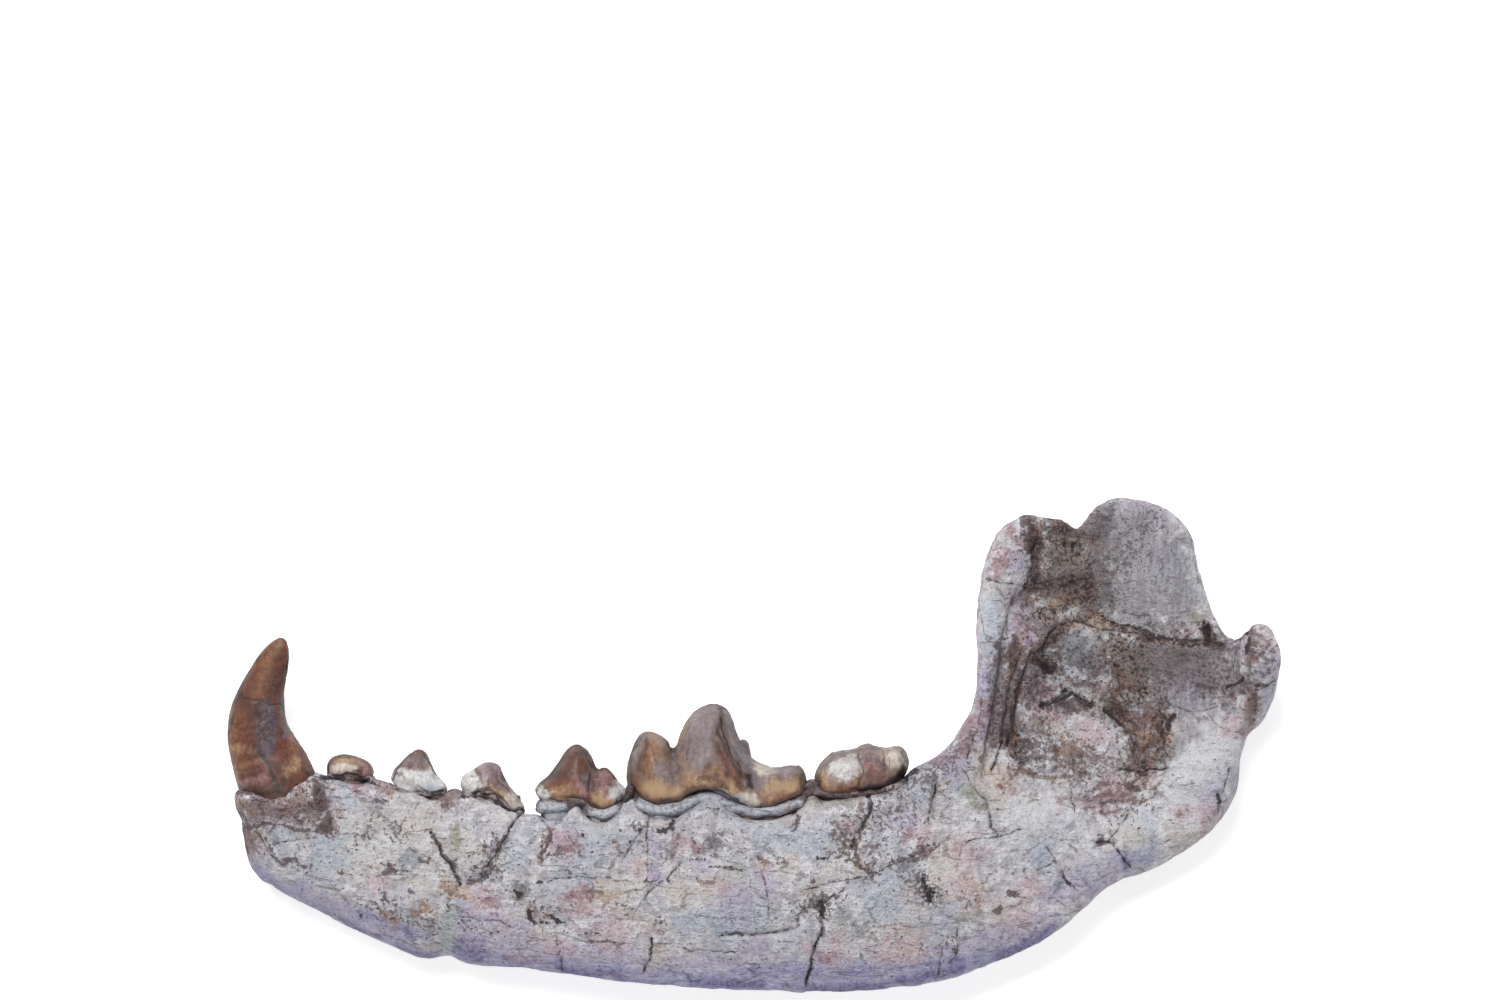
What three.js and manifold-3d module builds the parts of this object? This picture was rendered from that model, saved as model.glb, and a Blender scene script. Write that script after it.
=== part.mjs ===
// The left half of the fossil lower jaw of a large bear-like carnivore, lying on its inner side.
// Millimetres. +X runs from the canine back to the jaw joint, +Y towards the biting edges, and +Z
// from the inner side, which the jaw lies on, to the outer side. The origin is in the middle of
// the jaw's box, on the surface that it rests on.
import * as THREE from "three";
import { mergeVertices } from "three/addons/utils/BufferGeometryUtils.js";
import Module from "manifold-3d";

const wasm = await Module();
wasm.setup();

// Driving sizes.
const JAW_LENGTH = 233; // the canine's front to the joint's back
const JAW_LENGTH_PX = 1052; // the same length in the side view that the outlines are drawn in
const MM_PER_PX = JAW_LENGTH / JAW_LENGTH_PX;
const VIEW_CENTRE_PX = [753, 745]; // the side view's point that becomes x 0, y 0
const GAP = 0.4; // between a tooth and the bone that holds it

// Colours and roughness.
const FINISHES = {
  canine: [0x8b5430, 0.35], premolar_1: [0xb69a78, 0.45], premolar_2: [0x9c6f52, 0.4],
  premolar_3: [0x8e6b62, 0.4], premolar_4: [0x74503a, 0.35], carnassial: [0x80695d, 0.35],
  molar_2: [0xa98f7a, 0.4], jaw_bone: [0xb9b2b0, 0.8],
};

// How finely the surfaces are found, and how far their facets may then lie off them.
const BONE_ERROR = 0.148;
const TOOTH_ERROR = 0.075;
const BONE_CELL = [1.7, 1.7, 1.6];
const BONE_LOW = [-120, -58, -4];
const BONE_HIGH = [120, 58, 36];
const BONE_SPACING = 0.8; // between points along the bone's outline
const CROWN_SPACING = 0.4;
const PATH_SPACING = 3; // between points along a ridge, hollow or groove

// The bone's outline from the outer side, in side-view pixels, y down. Starts under the canine and
// runs along the lower edge to the joint, over the coronoid process and forward under the teeth.
const BONE_OUTLINE_PX = [
  [234, 790], [233, 802], [240, 815], [246, 845], [250, 866], [262, 880], [281, 893], [301, 904],
  [322, 914], [346, 927], [371, 939], [396, 950], [416, 957], [432, 960], [440, 956], [450, 955],
  [458, 961], [470, 965], [520, 968], [552, 973], [592, 978], [632, 983], [682, 987], [740, 990],
  [800, 992], [845, 993], [882, 990], [930, 983], [976, 970], [1003, 960], [1032, 947], [1060, 930],
  [1076, 914], [1092, 901], [1104, 889], [1122, 881], [1146, 872], [1174, 858], [1200, 842],
  [1216, 828], [1228, 809], [1236, 796], [1238, 783], [1241, 762], [1245, 744], [1250, 726],
  [1259, 706], [1266, 688], [1265, 664], [1256, 650], [1240, 650], [1229, 642], [1220, 627],
  [1213, 610], [1205, 590], [1199, 566], [1194, 545], [1187, 527], [1173, 512], [1157, 503],
  [1132, 497], [1108, 499], [1092, 509], [1083, 521], [1074, 530], [1066, 519], [1050, 517],
  [1036, 514], [1026, 512], [1011, 520], [996, 533], [988, 552], [983, 574], [977, 598],
  [975, 622], [977, 668], [974, 698], [963, 721], [950, 744], [930, 760], [912, 769], [893, 786],
  [868, 790], [840, 794], [822, 797], [811, 789], [794, 806], [768, 813], [744, 813], [727, 802],
  [711, 792], [697, 801], [680, 811], [657, 813], [643, 804], [633, 792], [628, 789],
  [621, 805], [603, 820], [587, 814], [576, 799], [561, 813], [543, 812], [524, 812], [505, 803],
  [488, 796], [468, 792], [454, 786], [437, 794], [420, 789], [396, 784], [373, 781], [330, 777],
  [316, 771], [300, 777], [286, 785], [270, 791], [252, 785],
];

// How high the outer and the inner face of the bone stand above the surface it rests on:
// [px, py, outer, inner]. The faces run smoothly between these places.
const BONE_FACES = [
  [250, 800, 20, 3], [255, 850, 18, -1.5], [300, 800, 22, 3.5], [300, 850, 21, -3],
  [310, 895, 18, -4.5], [360, 795, 20, 7], [365, 860, 22, 0.5], [370, 925, 19, -2.5],
  [440, 800, 20, 8.5],
  [440, 870, 23, 4], [440, 945, 20, 0.5], [530, 820, 20.5, 9], [530, 880, 24, 6],
  [540, 960, 20, 6], [620, 820, 21.5, 9], [630, 890, 25, 6], [640, 970, 20, 8],
  [720, 805, 23, 8], [720, 885, 25.5, 6.5], [720, 975, 20, 9], [810, 805, 22.5, 7.5],
  [810, 890, 25, 6.5], [820, 980, 20, 9], [880, 800, 22.5, 6.5], [900, 880, 24.5, 7],
  [920, 970, 20, 9], [950, 770, 23.5, 10], [990, 820, 24, 8], [1000, 900, 23, 7],
  [1010, 945, 19, 9], [985, 700, 22, 12], [990, 620, 20, 12.5], [1005, 550, 18, 12],
  [1040, 530, 16, 11], [1050, 600, 15, 10], [1045, 690, 14, 8.5], [1060, 760, 17, 8],
  [1085, 700, 12.5, 7.5], [1100, 640, 12, 8], [1150, 660, 11.5, 7], [1130, 730, 13, 7.5],
  [1080, 820, 20, 6], [1070, 890, 20, 7], [1100, 560, 15, 10.5], [1130, 515, 14.5, 11],
  [1160, 560, 15.5, 10.5], [1180, 600, 15, 10], [1210, 660, 13, 7], [1230, 690, 16, 5.5],
  [1150, 800, 18.5, 8], [1130, 850, 18, 9], [1200, 760, 19.5, 5], [1200, 820, 17, 7.5],
  [1228, 770, 17, 6], [1250, 680, 19.5, 4],
];
const FACE_REACH = 9; // how far such a place reaches
const FAR_WEIGHT = 1e-12; // where no place reaches, the faces are at their mean height
const LEAST_THICKNESS = 3;

// How far in from its outline the bone rounds over.
const LOWER_RIM = 13; // up from the lower edge
const UPPER_RIM = 3.2; // down from the tooth row
const TOOTH_ROW_Y = -14;
const BODY_HEIGHT = 40; // from the tooth row down to the lower edge
const RAMUS_START_X = 45; // behind this the rim becomes alike all round
const RAMUS_BLEND = 20;
const RAMUS_RIM_SHARE = 1.2; // a share of half the thickness

// Ridges and hollows: a line on the face, how high or deep, and how wide. On the inner face,
// height is how far it stands out towards the other half of the jaw.
const OUTER_RELIEF = [
  { path: [[1000, 535], [992, 610], [988, 680], [976, 735], [962, 770]], height: 1.4, width: 4.0 },
  { path: [[1036, 545], [1028, 590], [1010, 640], [1000, 715], [992, 768]], height: -1.7, width: 1.8 },
  { path: [[1040, 640], [1024, 680], [1012, 735]], height: 1.4, width: 2.2 },
  { path: [[1037, 657], [1056, 666], [1044, 690]], height: -1.2, width: 2.4 },
  { path: [[1043, 700], [1069, 689], [1090, 704]], height: -1.6, width: 2.0 },
  { path: [[1120, 700], [1140, 745], [1150, 770]], height: -1.8, width: 5.0 },
  { path: [[1104, 718], [1120, 730]], height: -1.0, width: 2.0 },
  { path: [[1150, 540], [1150, 585]], height: 1.1, width: 7.5 },
  { path: [[1046, 526], [1052, 565], [1075, 600]], height: -1.3, width: 3.0 },
  { path: [[1240, 722], [1195, 775], [1140, 830], [1112, 846]], height: 1.5, width: 5.0 },
  { path: [[1216, 628], [1208, 640]], height: 1.2, width: 1.8 },
  { path: [[1105, 842], [1122, 870]], height: -1.2, width: 2.0 },
  { path: [[262, 800], [285, 840], [320, 880]], height: 1.5, width: 6.5 },
  { path: [[330, 800], [345, 850]], height: -0.7, width: 4.0 },
  { path: [[433, 832], [447, 856], [462, 880], [478, 878]], height: -0.8, width: 1.5 },
  { path: [[526, 812], [508, 836], [494, 862], [470, 882]], height: -0.8, width: 1.5 },
  { path: [[552, 878], [604, 875], [660, 880], [637, 912]], height: -0.6, width: 1.5 },
  { path: [[722, 933], [798, 925], [800, 903], [866, 876]], height: -0.7, width: 1.5 },
  { path: [[815, 900], [822, 930], [812, 956], [805, 984]], height: -1.0, width: 1.5 },
  { path: [[885, 808], [875, 836], [861, 856]], height: -0.8, width: 1.5 },
  { path: [[920, 858], [932, 882], [936, 906]], height: -0.8, width: 1.7 },
  { path: [[448, 925], [450, 960]], height: -1.6, width: 3.0 },
  { path: [[560, 830], [566, 860]], height: 0.6, width: 4.0 },
  { path: [[604, 832], [610, 868]], height: 0.6, width: 4.0 },
  { path: [[662, 828], [660, 880]], height: 0.8, width: 5.0 },
  { path: [[764, 826], [772, 880]], height: 0.8, width: 5.0 },
];
const INNER_RELIEF = [
  { path: [[985, 560], [985, 690]], height: 1.2, width: 4.0 },
  { path: [[1070, 525], [1066, 600], [1052, 655]], height: -1.8, width: 3.0 },
  { path: [[1140, 530], [1150, 600]], height: 1.6, width: 8.0 },
  { path: [[1163, 665], [1128, 705], [1063, 716]], height: -1.6, width: 2.4 },
  { path: [[1238, 728], [1172, 766], [1100, 800]], height: 3.2, width: 6.0 },
  { path: [[1224, 792], [1205, 826], [1168, 850], [1135, 868]], height: 8.0, width: 3.6 },
  { path: [[906, 820], [905, 862], [868, 880]], height: -1.4, width: 2.0 },
  { path: [[966, 800], [916, 850]], height: 1.4, width: 6.0 },
  { path: [[640, 880], [560, 880], [528, 862]], height: -0.8, width: 1.6 },
  { path: [[785, 900], [785, 985]], height: -1.2, width: 2.2 },
  { path: [[388, 840], [395, 868], [444, 892]], height: -0.9, width: 1.8 },
  { path: [[448, 925], [450, 960]], height: -1.6, width: 3.0 },
];
// Ledges: the face stands higher on the left of the line, and falls back to its level beyond it.
const OUTER_LEDGES = [
  { path: [[1212, 640], [1160, 637], [1105, 628], [1066, 616]], height: 1.9, reach: 7 },
  { path: [[1044, 652], [1052, 632], [1066, 622], [1100, 632], [1110, 655]], height: -0.9, reach: 4 },
  { path: [[1165, 782], [1120, 768], [1096, 735]], height: -1.4, reach: 6 },
];
const INNER_LEDGES = [
  { path: [[1205, 762], [1150, 795], [1083, 835]], height: 1.8, reach: 6 },
];
const LEDGE_FOOT = 0.5; // the share of a ledge's height right on its line
const LEDGE_WIDTH = 0.7;

// Broad, low swellings of the weathered faces: height, wavelength, direction in degrees, start.
const OUTER_WAVES = [[0.34, 31, 12, 0.4], [0.26, 19, 74, 1.9], [0.2, 13.5, -38, 3.1]];
const INNER_WAVES = [[0.36, 27, -15, 2.2], [0.28, 21, 65, 0.3], [0.18, 12.5, 33, 4.0]];
// Holes in the inner face: [px, py, depth, radius].
const INNER_PITS = [[849, 844, 1.6, 2.0], [910, 871, 1.5, 1.6], [867, 887, 1.0, 1.6]];

// The joint's roller: the middle of its outer and inner end, and half its size there.
const CONDYLE = {
  outer: [1259, 653, 25.5], inner: [1246, 694, -1],
  outerHalf: [4.6, 8.0], innerHalf: [5.6, 9.8], rounding: 3.4,
};
const CONDYLE_JOIN = 4.5; // how softly the roller runs into the bone

// Crowns drawn from the outer side like the bone: the ridge runs over the cusps from front to
// back, and the base back under the crown. A crown is as thick as twice its swell, from crest
// below its ridge on down. Roots are [px, py of the neck, px, py of the tip, half length and half
// width at the neck].
const TEETH = {
  premolar_1: {
    ridge: [[327, 773], [328, 761], [336, 755], [347, 753.5], [360, 757], [371, 763], [375, 773]],
    base: [[370, 779], [349, 780], [331, 779]],
    middle: 13.6, swell: 2.9, crest: 2.4, cell: 0.75, roots: [[350, 774, 356, 832, 3.8, 2.4]],
  },
  premolar_2: {
    ridge: [
      [391, 780], [393, 770], [401, 761], [411, 752], [419, 748], [427, 752], [432, 763],
      [437, 773], [445, 782], [449, 790],
    ],
    base: [[441, 796], [425, 794], [410, 788], [397, 785]],
    middle: 14.0, swell: 3.3, crest: 4.4, cell: 0.8,
    grooves: [{ path: [[437, 768], [434, 792]], depth: 0.4, width: 1.0 }],
    roots: [[407, 779, 404, 838, 2.9, 2.6], [434, 785, 438, 842, 2.9, 2.6]],
  },
  premolar_3: {
    ridge: [
      [460, 785], [463, 775], [474, 768], [482, 763], [491, 761], [500, 765], [504, 774],
      [511, 786], [521, 799], [526, 809],
    ],
    base: [[517, 814], [500, 805], [485, 798], [469, 796]],
    middle: 14.4, swell: 3.5, crest: 4.8, cell: 0.85,
    grooves: [{ path: [[507, 778], [501, 802]], depth: 0.4, width: 1.0 }],
    roots: [[476, 782, 474, 848, 3.2, 2.8], [508, 796, 514, 862, 3.0, 2.8]],
  },
  premolar_4: {
    ridge: [
      [535, 790], [538, 783], [549, 774], [560, 759], [568, 748], [577, 743.5], [586, 748],
      [593, 757], [598, 768], [605, 766], [612, 771], [619, 781], [627, 790],
    ],
    base: [[622, 802], [605, 811], [591, 808], [576, 799], [556, 801], [541, 800]],
    middle: 15.0, swell: 4.9, crest: 5.6, cell: 0.75,
    grooves: [
      { path: [[598, 766], [594, 806]], depth: 0.8, width: 1.3 },
      { path: [[554, 772], [560, 798]], depth: 0.4, width: 1.2 },
    ],
    roots: [[558, 790, 552, 872, 4.2, 3.6], [602, 796, 606, 880, 4.8, 4.0]],
  },
  carnassial: {
    ridge: [
      [628, 787], [626, 775], [628, 759], [634, 743], [641, 732], [650, 730], [661, 734],
      [669, 740], [674, 746], [679, 735], [686, 720], [695, 710], [706, 704], [716, 702.5],
      [727, 708], [733, 719], [737, 732], [743, 743], [751, 756], [762, 763], [778, 764],
      [794, 762], [803, 768], [807, 784],
    ],
    base: [
      [802, 796], [788, 802], [772, 809], [753, 810], [735, 803], [720, 795], [705, 790],
      [691, 794], [675, 803], [655, 805], [640, 798],
    ],
    middle: 15.5, swell: 7.6, crest: 8.4, cell: 0.8,
    heel: { from: 736, to: 762, crest: 2.6 },
    grooves: [
      { path: [[674, 742], [678, 788]], depth: 1.6, width: 1.9 },
      { path: [[741, 738], [747, 800]], depth: 1.4, width: 1.9 },
    ],
    cusps: [{ foot: [738, 786, 10.2], tip: [743, 746, 9.6], radii: [4.2, 1.5] }],
    basins: [{ at: [782, 759, 15.2], size: [4.0, 2.2, 4.2] }],
    roots: [[662, 786, 652, 905, 7.4, 5.6], [764, 790, 778, 905, 8.2, 5.6]],
  },
  molar_2: {
    ridge: [
      [814, 786], [815, 772], [824, 758], [838, 748], [854, 746], [868, 743], [884, 745],
      [898, 744], [907, 752], [909, 764], [905, 776],
    ],
    base: [[890, 787], [868, 793], [842, 796], [822, 794]],
    middle: 14.2, swell: 7.2, crest: 2.6, cell: 0.8,
    grooves: [{ path: [[861, 744], [862, 794]], depth: 0.9, width: 1.6 }],
    basins: [
      { at: [843, 743, 14.6], size: [3.6, 2.4, 4.2] },
      { at: [885, 740, 14.6], size: [3.4, 2.2, 3.8] },
    ],
    roots: [[836, 780, 832, 872, 4.6, 4.4], [882, 774, 892, 862, 4.2, 4.2]],
  },
};
const BASE_ROUNDING = 2.2; // how far above its base a crown rounds under
const CREST_THICKNESS = 0.9; // along a crown's ridge
const SWELL_POWER = 0.62; // below 1, a crown widens faster under its ridge
const CUSP_JOIN = 1.2;
const ROOT_SIDES = 9;
const ROOT_TIP_SHARE = 0.45; // a root's width at its tip, as a share of its width at the neck

// The canine: places along its middle line with its half length there, [px, py, half length].
const CANINE_LINE = [
  [281, 644, 1.6], [276, 656, 3.0], [267, 678, 4.2], [260, 700, 5.3], [257, 720, 6.2],
  [259, 740, 6.9], [266, 758, 7.6], [274, 776, 8.4], [284, 800, 8.2], [301, 842, 6.4],
  [322, 878, 4.2],
];
const CANINE_STEPS = 26;
const CANINE_NECK = 0.6; // how far down that line the crown meets the root
const CANINE_FLATNESS = 0.74; // half width over half length
const CANINE_TIP_Z = 18.5; // it leans outwards
const CANINE_NECK_Z = 12.6;
const CANINE_KEEL = 0.4; // the ridge down its back edge
const CANINE_LOW = [-120, -36, 1];
const CANINE_HIGH = [-88, 28, 26];
const CANINE_CELL = [1.2, 1.2, 1.2];

// Limits for closing up a mesh's edges.
const LENGTH_COST = 2e-4; // a small preference for short edges
const LONGEST_MOVE = 2; // how far a corner may move, in lengths of its edge
const FOLD_LIMIT = 0.3; // the least cosine between a face's old and new normals
const SLIVER = 1e-4; // a face smaller than this has no direction worth keeping
const SINGULAR = 1e-4;
const SLIVER_ERROR = 0.02;
const ON_SURFACE = 1e-3; // a corner this close to the surface that the jaw rests on stays on it

// Limits for finding where a surface crosses an edge of the grid.
const CROSSING_ROUNDS = 3;
const CROSSING_MARGIN = 0.02; // a share of the edge, kept free at both of its ends

/** A side-view pixel as x, y in millimetres. */
function place([px, py]) {
  return [(px - VIEW_CENTRE_PX[0]) * MM_PER_PX, (VIEW_CENTRE_PX[1] - py) * MM_PER_PX];
}

/** A side-view pixel with its height, as a Vector3. */
function spot([px, py, z]) {
  return new THREE.Vector3(...place([px, py]), z);
}

/** A smooth line through side-view pixels, open or closed. */
class Outline {
  constructor(pixels, spacing, closed = true) {
    const curve = new THREE.CatmullRomCurve3(
      pixels.map((pixel) => new THREE.Vector3(...place(pixel), 0)), closed, "centripetal");
    this.points = curve.getPoints(Math.ceil(curve.getLength() / spacing));
    this.closed = closed;
  }

  /** Distance to the line, negative inside a closed one. */
  distance(x, y) {
    let nearest = Infinity;
    let inside = false;
    for (let i = 1; i < this.points.length; i++) {
      const a = this.points[i - 1];
      const b = this.points[i];
      nearest = Math.min(nearest, squaredToSegment(x, y, a.x, a.y, b.x, b.y));
      if (a.y > y !== b.y > y && x < ((b.x - a.x) * (y - a.y)) / (b.y - a.y) + a.x) {
        inside = !inside;
      }
    }
    return Math.sqrt(nearest) * (this.closed && inside ? -1 : 1);
  }
}

function squaredToSegment(x, y, ax, ay, bx, by) {
  const dx = bx - ax;
  const dy = by - ay;
  const t = THREE.MathUtils.clamp(((x - ax) * dx + (y - ay) * dy) / (dx * dx + dy * dy), 0, 1);
  return (x - ax - t * dx) ** 2 + (y - ay - t * dy) ** 2;
}

/** Distance from a point to a line of points, and whether the point is on the line's left. */
function besidePath(x, y, path) {
  let nearest = Infinity;
  let left = false;
  for (let i = 1; i < path.length; i++) {
    const [[ax, ay], [bx, by]] = [path[i - 1], path[i]];
    const squared = squaredToSegment(x, y, ax, ay, bx, by);
    if (squared < nearest) {
      nearest = squared;
      left = (bx - ax) * (y - ay) - (by - ay) * (x - ax) > 0;
    }
  }
  return { distance: Math.sqrt(nearest), left };
}

/** The same list with its lines of pixels as smooth lines of places. */
function inMillimetres(lines) {
  return lines.map((line) => {
    const curve = new THREE.CatmullRomCurve3(
      line.path.map((pixel) => new THREE.Vector3(...place(pixel), 0)));
    const points = curve.getPoints(Math.max(Math.ceil(curve.getLength() / PATH_SPACING), 1));
    return { ...line, path: points.map(({ x, y }) => [x, y]) };
  });
}

/** How far a face's broad swellings raise it at a place. */
function undulation(waves, x, y) {
  return waves.reduce((sum, [height, length, direction, start]) => {
    const angle = THREE.MathUtils.degToRad(direction);
    const along = x * Math.cos(angle) + y * Math.sin(angle);
    return sum + height * Math.sin((2 * Math.PI * along) / length + start);
  }, 0);
}

/** How much ridges, hollows and ledges raise a face at a place. */
function rise(relief, ledges, x, y) {
  let sum = 0;
  for (const { path, height, width } of relief) {
    sum += height * Math.exp(-((besidePath(x, y, path).distance / width) ** 2));
  }
  for (const { path, height, reach } of ledges) {
    const { distance, left } = besidePath(x, y, path);
    const side = left ? 1 - LEDGE_FOOT * Math.exp(-distance / LEDGE_WIDTH)
      : LEDGE_FOOT * Math.exp(-distance / LEDGE_WIDTH);
    sum += height * side * Math.exp(-((distance / reach) ** 2));
  }
  return sum;
}

/** Two solids joined with a fillet about as wide as width. */
function smoothJoin(a, b, width) {
  const h = Math.max(width - Math.abs(a - b), 0) / width;
  return Math.min(a, b) - (h * h * width) / 4;
}

/** A rod whose radius runs from r1 at a to r2 at b. */
function rod(p, a, b, r1, r2) {
  const along = b.clone().sub(a);
  const t = THREE.MathUtils.clamp(p.clone().sub(a).dot(along) / along.lengthSq(), 0, 1);
  return p.distanceTo(a.clone().addScaledVector(along, t)) - THREE.MathUtils.lerp(r1, r2, t);
}

function ellipsoid(p, centre, size) {
  const q = p.clone().sub(centre).divide(new THREE.Vector3(...size));
  return (q.length() - 1) * Math.min(...size);
}

/** The bone: a plate in its outline, as thick as BONE_FACES says, with its relief and roller. */
function boneField() {
  const outline = new Outline(BONE_OUTLINE_PX, BONE_SPACING);
  const faces = BONE_FACES.map(([px, py, outer, inner]) => [...place([px, py]), outer, inner]);
  const outerRelief = inMillimetres(OUTER_RELIEF);
  const innerRelief = inMillimetres(INNER_RELIEF);
  const outerLedges = inMillimetres(OUTER_LEDGES);
  const innerLedges = inMillimetres(INNER_LEDGES);
  const pits = INNER_PITS.map(([px, py, depth, radius]) => ({ at: place([px, py]), depth, radius }));
  const columns = new Map();

  /** What is the same all the way up at a place: the two faces, and how far inside the rim. */
  const column = (x, y) => {
    const key = `${x} ${y}`;
    if (columns.has(key)) return columns.get(key);
    let total = 0;
    let outer = 0;
    let inner = 0;
    for (const [fx, fy, high, low] of faces) {
      const weight = Math.exp(-((x - fx) ** 2 + (y - fy) ** 2) / (2 * FACE_REACH ** 2))
        + FAR_WEIGHT;
      total += weight;
      outer += weight * high;
      inner += weight * low;
    }
    outer = outer / total + rise(outerRelief, outerLedges, x, y) + undulation(OUTER_WAVES, x, y);
    inner = inner / total - rise(innerRelief, innerLedges, x, y) - undulation(INNER_WAVES, x, y);
    for (const { at, depth, radius } of pits) {
      inner += depth * Math.exp(-((Math.hypot(x - at[0], y - at[1]) / radius) ** 4));
    }
    const half = Math.max((outer - inner) / 2, LEAST_THICKNESS / 2);
    const rim = rimDepth(x, y, half);
    const inwards = Math.max((rim + outline.distance(x, y)) / rim, 0);
    columns.set(key, { middle: (outer + inner) / 2, half, rim, inwards });
    return columns.get(key);
  };

  return (x, y, z) => {
    const { middle, half, rim, inwards } = column(x, y);
    const field = (Math.hypot(inwards, (z - middle) / half) - 1) * Math.min(half, rim);
    return smoothJoin(field, condyleField(x, y, z), CONDYLE_JOIN);
  };
}

/** How far in from the outline the faces round over: deep along the lower edge, less above. */
function rimDepth(x, y, half) {
  const down = THREE.MathUtils.smoothstep(TOOTH_ROW_Y - y, 0, BODY_HEIGHT);
  const body = THREE.MathUtils.lerp(UPPER_RIM, LOWER_RIM, down);
  const back = THREE.MathUtils.smoothstep(x, RAMUS_START_X, RAMUS_START_X + RAMUS_BLEND);
  return THREE.MathUtils.lerp(body, Math.min(body, half * RAMUS_RIM_SHARE), back);
}

/** The roller of the jaw joint: an oval bar from its outer to its inner end. */
function condyleField(x, y, z) {
  const outer = spot(CONDYLE.outer);
  const inner = spot(CONDYLE.inner);
  const t = THREE.MathUtils.clamp((outer.z - z) / (outer.z - inner.z), 0, 1);
  const half = CONDYLE.outerHalf.map((v, axis) => THREE.MathUtils.lerp(v, CONDYLE.innerHalf[axis], t));
  const centre = outer.clone().lerp(inner, t);
  const across = (Math.hypot((x - centre.x) / half[0], (y - centre.y) / half[1]) - 1) * half[0];
  const beyond = Math.max(z - outer.z, inner.z - z) + CONDYLE.rounding;
  const outside = Math.hypot(Math.max(across + CONDYLE.rounding, 0), Math.max(beyond, 0));
  return outside + Math.min(Math.max(across + CONDYLE.rounding, beyond), 0) - CONDYLE.rounding;
}

/** A crown: it swells from its ridge down to its full width, and rounds under at its base. */
function crownField(tooth) {
  const outline = new Outline([...tooth.ridge, ...tooth.base], CROWN_SPACING);
  const ridge = new Outline(tooth.ridge, CROWN_SPACING, false);
  const grooves = inMillimetres(tooth.grooves ?? []);
  const cusps = (tooth.cusps ?? []).map(({ foot, tip, radii }) => [spot(foot), spot(tip), ...radii]);
  const basins = (tooth.basins ?? []).map(({ at, size }) => [spot(at), size]);
  const heel = tooth.heel && [place([tooth.heel.from, 0])[0], place([tooth.heel.to, 0])[0]];

  return (x, y, z) => {
    const inside = -outline.distance(x, y);
    const crest = heel
      ? THREE.MathUtils.lerp(tooth.crest, tooth.heel.crest, THREE.MathUtils.smoothstep(x, ...heel))
      : tooth.crest;
    const down = THREE.MathUtils.clamp(ridge.distance(x, y) / crest, 0, 1);
    const up = THREE.MathUtils.clamp(inside / Math.min(BASE_ROUNDING, crest), 0, 1);
    const groove = grooves.reduce((sum, { path, depth, width }) =>
      sum + depth * Math.exp(-((besidePath(x, y, path).distance / width) ** 2)), 0);
    const swell = (1 - (1 - down) ** 2) ** SWELL_POWER * Math.sqrt(1 - (1 - up) ** 2);
    const half = Math.max(tooth.swell * swell - groove, CREST_THICKNESS / 2);
    let field = inside <= 0
      ? Math.hypot(inside, Math.max(Math.abs(z - tooth.middle) - CREST_THICKNESS / 2, 0))
      : Math.max(Math.abs(z - tooth.middle) - half, -inside);
    const p = new THREE.Vector3(x, y, z);
    for (const cusp of cusps) field = smoothJoin(field, rod(p, ...cusp), CUSP_JOIN);
    for (const basin of basins) field = Math.max(field, -ellipsoid(p, ...basin));
    return field;
  };
}

/** The canine with its root: a curved, flattened cone with a keel down its back edge. */
function canineField() {
  const curve = new THREE.CatmullRomCurve3(
    CANINE_LINE.map(([px, py, half]) => new THREE.Vector3(...place([px, py]), half)));
  const line = curve.getPoints(CANINE_STEPS).map(({ x, y, z: half }, i) => {
    const t = Math.min(i / CANINE_STEPS / CANINE_NECK, 1);
    return { x, y, z: THREE.MathUtils.lerp(CANINE_TIP_Z, CANINE_NECK_Z, t), half };
  });
  return (x, y, z) => {
    let field = Infinity;
    for (let i = 1; i < line.length; i++) {
      const [a, b] = [line[i - 1], line[i]];
      const [dx, dy] = [b.x - a.x, b.y - a.y];
      const t = THREE.MathUtils.clamp(
        ((x - a.x) * dx + (y - a.y) * dy) / (dx * dx + dy * dy), 0, 1);
      const [atX, atY, atZ, half] = ["x", "y", "z", "half"].map((axis) =>
        THREE.MathUtils.lerp(a[axis], b[axis], t));
      const off = (z - atZ) / CANINE_FLATNESS;
      const side = Math.hypot(x - atX, y - atY);
      const keel = x > atX ? CANINE_KEEL * Math.exp(-((off / 2) ** 2)) : 0;
      field = Math.min(field, (Math.hypot(side, off) - half - keel) * CANINE_FLATNESS);
    }
    return field;
  };
}

// A grid cell's corners are numbered with x as 1, y as 2 and z as 4. Six tetrahedra fill it.
const TETRAHEDRA = [[0, 1, 3, 7], [0, 3, 2, 7], [0, 2, 6, 7], [0, 6, 4, 7], [0, 4, 5, 7], [0, 5, 1, 7]];
const EVEN_ORDERS = [
  [0, 1, 2, 3], [0, 2, 3, 1], [0, 3, 1, 2], [1, 0, 3, 2], [1, 2, 0, 3], [1, 3, 2, 0],
  [2, 0, 1, 3], [2, 1, 3, 0], [2, 3, 0, 1], [3, 0, 2, 1], [3, 1, 0, 2], [3, 2, 1, 0],
];
// The edges that the surface cuts when a tetrahedron's first one, two or three corners are inside.
const CUT_EDGES = [
  [], [[0, 1], [0, 2], [0, 3]], [[0, 2], [0, 3], [1, 3], [1, 2]], [[0, 3], [1, 3], [2, 3]], [],
];

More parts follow.
